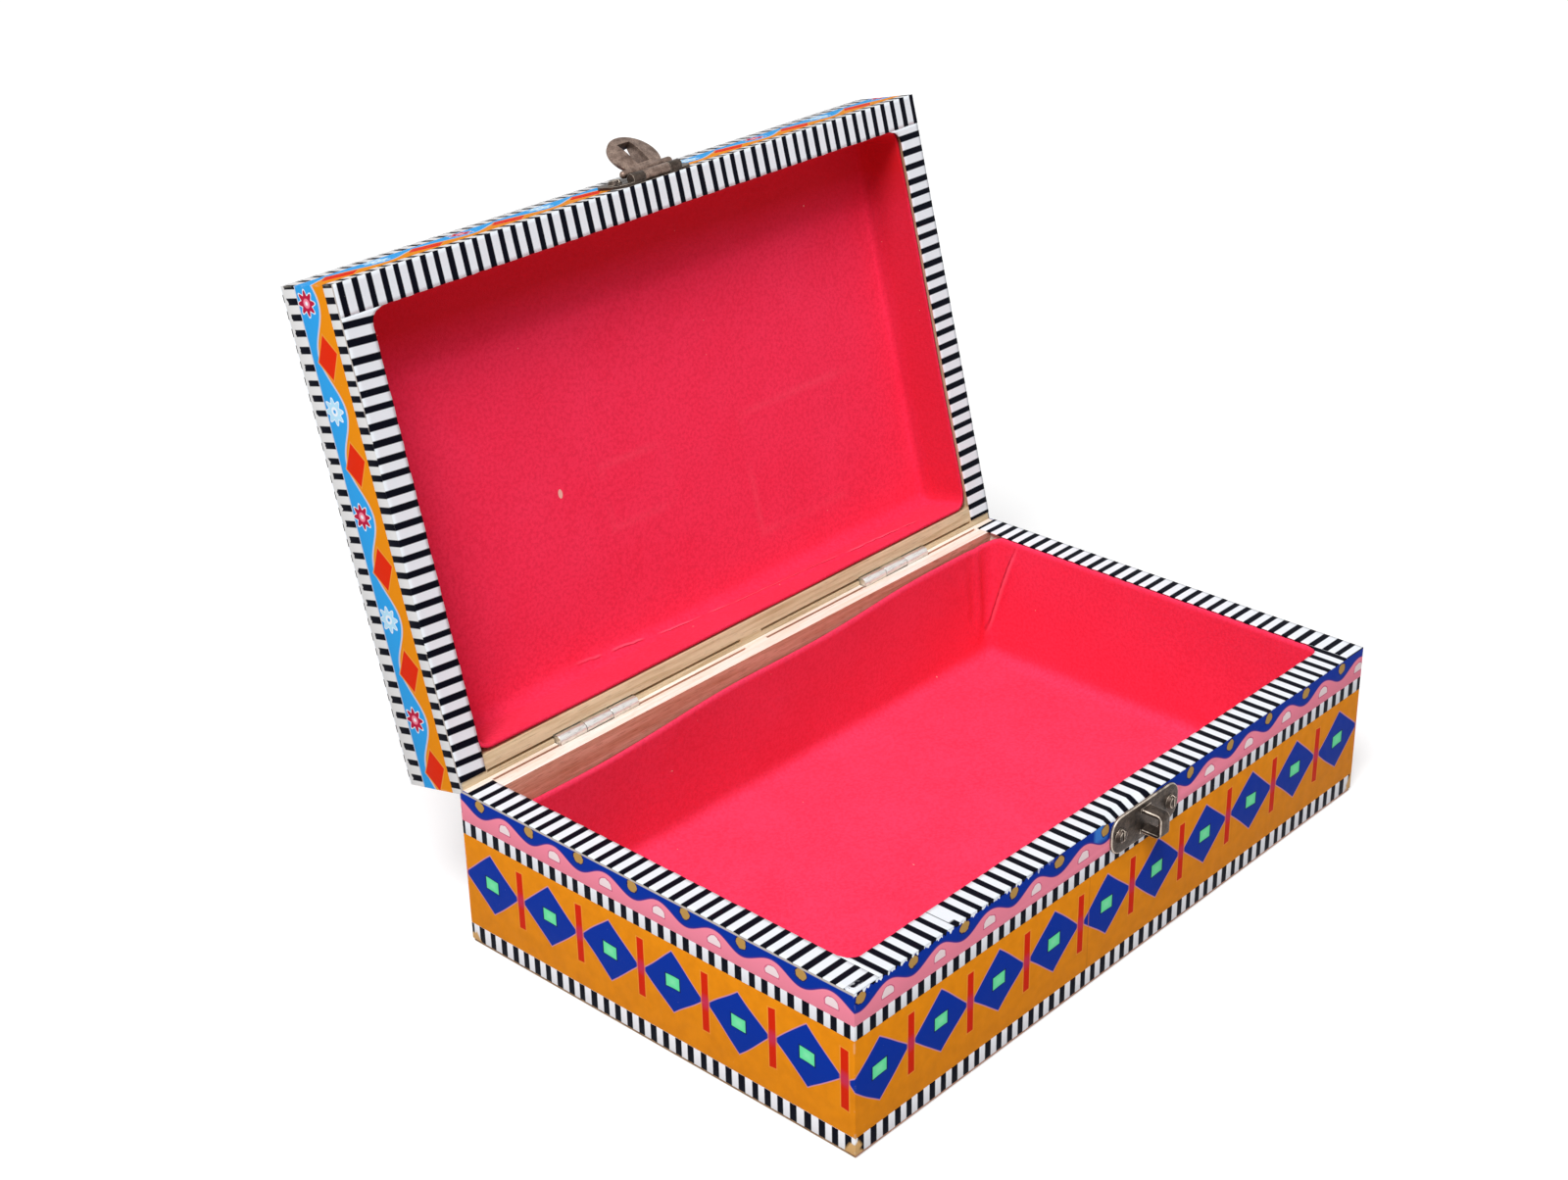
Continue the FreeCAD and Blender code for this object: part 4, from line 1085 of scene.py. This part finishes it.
# Linings
# The fourth tone of each felt is painted shade: on the upright faces of the base, and under the front wall of the
# lid.
base_felt = felt("base_red_felt", ("f83456", "ff4670", "d82244", "d81c3a"))
lid_felt = felt("lid_red_felt", ("fa284c", "ff3860", "d81c3c", "c80e0c"), lid=True)
lining("base_lining", BASE_RIM, FLOOR_Z, base_edge_drop, base_relief, base_felt, Matrix.Identity(4))
lining("lid_lining", LID_RIM, LID_CEILING, lid_edge_drop, lid_relief, lid_felt, turn_open)

# Boards with rounded edges
WOOD_EDGE = 0.25
CREAM_WOOD = ("fdf0e6", "f2dcc8", "b99878")
TAN_WOOD = ("e2cba8", "c6aa82", "806246")
SOILED_WOOD = ("a98460", "85623f", "46301f")
wood_long = wood("wood_long", CREAM_WOOD)
wood_short = wood("wood_short", CREAM_WOOD, grain="y")
wood_floor = wood("wood_floor", SOILED_WOOD)
lid_wood_long = wood("lid_wood_long", TAN_WOOD, lid=True)
lid_wood_short = wood("lid_wood_short", TAN_WOOD, lid=True, grain="y")
softened("base_back_wall", WOOD_EDGE, wood_long)
softened("lid_back_wall", WOOD_EDGE, lid_wood_long)
softened("base_floor_panel", WOOD_EDGE, wood_floor)

# Latch and hinges
METAL_EDGE = 0.28
HINGE_EDGE = 0.12
# The fourth tone of each bronze is its pale outer edge: wear with a painted highlight.
DARK_BRONZE = ("302823", "5e5148", "14100d", "d8cabb")
WORN_BRONZE = ("6a564c", "a08a7d", "372a24", "d2c0b0")
PLATED = "e6e4e0"
catch_bronze = bronze("catch_bronze", DARK_BRONZE)
plate_bronze = bronze("hasp_plate_bronze", DARK_BRONZE, lid=True)
hasp_bronze = bronze("hasp_bronze", WORN_BRONZE, lid=True)
hinge_steel = steel("hinge_plating", PLATED)
hinge_steel_lid = steel("hinge_plating_lid", PLATED, lid=True)
brad_steel = steel("brad_metal", "8c8a86")
latch = {
    "catch_plate": catch_bronze,
    "catch_screws": catch_bronze,
    "hasp_plate": plate_bronze,
    "hasp_plate_screws": plate_bronze,
    "hasp": hasp_bronze,
}
for node, material in latch.items():
    softened(node, METAL_EDGE, material)
for side in ("left", "right"):
    softened(f"{side}_hinge_base_leaf", HINGE_EDGE, hinge_steel)
    softened(f"{side}_hinge_lid_leaf", HINGE_EDGE, hinge_steel_lid)

# CAD nodes that stay as they are
kept = {
    "base_front_wall": wood_long,
    "base_left_wall": wood_short,
    "base_right_wall": wood_short,
    "lid_front_wall": lid_wood_long,
    "lid_left_wall": lid_wood_short,
    "lid_right_wall": lid_wood_short,
    "lid_top_panel": lid_wood_long,
    "left_hinge_pin": hinge_steel,
    "right_hinge_pin": hinge_steel,
    "hasp_pin": plate_bronze,
    "base_floor_brads": brad_steel,
    "base_corner_brads": brad_steel,
    "lid_panel_brads": brad_steel,
    "lid_corner_brads": brad_steel,
}
for node, material in kept.items():
    mesh = frame["nodes"][node].data
    mesh.materials.clear()
    mesh.materials.append(material)


# Floor and background

FLOOR_HALF_METRES = 6.0
FLOOR_DROP_METRES = 0.0002
FLOOR_GREY = 0.7
FLOOR_GLOW = 0.35
AMBIENT = 0.32
scene = bpy.context.scene


def white_for_camera(tree):
    """One for rays from the camera, also by gloss or through clear matter, and zero for the rest."""
    path = tree.nodes.new("ShaderNodeLightPath")
    seen = Field(tree, path.outputs["Is Camera Ray"])
    seen = seen.most(Field(tree, path.outputs["Is Glossy Ray"]))
    return seen.most(Field(tree, path.outputs["Is Transmission Ray"]))


floor_mesh = bpy.data.meshes.new("floor")
corners = [(x * FLOOR_HALF_METRES, y * FLOOR_HALF_METRES, 0) for x, y in ((-1, -1), (1, -1), (1, 1), (-1, 1))]
floor_mesh.from_pydata(corners, [], [(0, 1, 2, 3)])
floor = bpy.data.objects.new("floor", floor_mesh)
floor.location.z = -FLOOR_DROP_METRES
scene.collection.objects.link(floor)
ground = Surface("floor_paint", roughness=0.9, specular=0.1)
ground.shader.inputs["Base Color"].default_value = (FLOOR_GREY, FLOOR_GREY, FLOOR_GREY, 1)
ground.shader.inputs["Emission Color"].default_value = (1, 1, 1, 1)
plug(ground.tree, ground.shader.inputs["Emission Strength"], white_for_camera(ground.tree) * FLOOR_GLOW)
floor_mesh.materials.append(ground.material)

world = bpy.data.worlds.new("studio")
scene.world = world
world.use_nodes = True
backdrop = world.node_tree.nodes["Background"]
backdrop.inputs["Color"].default_value = (1, 1, 1, 1)
plug(world.node_tree, backdrop.inputs["Strength"],
     white_for_camera(world.node_tree) * (1.0 - AMBIENT) + AMBIENT)

# Key light
KEY_FROM = Vector((-0.48, -0.23, 0.85))
KEY_STRENGTH = 2.85
KEY_ANGLE = 26
key_lamp = bpy.data.lights.new("key", "SUN")
key_lamp.energy = KEY_STRENGTH
key_lamp.angle = math.radians(KEY_ANGLE)
key = bpy.data.objects.new("key", key_lamp)
scene.collection.objects.link(key)
key.rotation_euler = (-KEY_FROM).to_track_quat("-Z", "Y").to_euler()

# Camera, with its place and aim in metres
CAMERA_PLACE = Vector((-0.41909, -0.34392, 0.35121))
CAMERA_AIM = Vector((-0.01527, 0.03557, 0.07314))
CAMERA_ROLL = 1.27
CAMERA_LENS = 56.74
CAMERA_SENSOR = 36.0
camera_data = bpy.data.cameras.new("camera")
camera_data.lens = CAMERA_LENS
camera_data.sensor_width = CAMERA_SENSOR
camera = bpy.data.objects.new("camera", camera_data)
scene.collection.objects.link(camera)
look = (CAMERA_AIM - CAMERA_PLACE).to_track_quat("-Z", "Y").to_matrix().to_4x4()
camera.matrix_world = (
    Matrix.Translation(CAMERA_PLACE) @ look @ Matrix.Rotation(math.radians(-CAMERA_ROLL), 4, "Z")
)
scene.camera = camera
scene.view_settings.view_transform = "Standard"

bpy.context.view_layer.update()
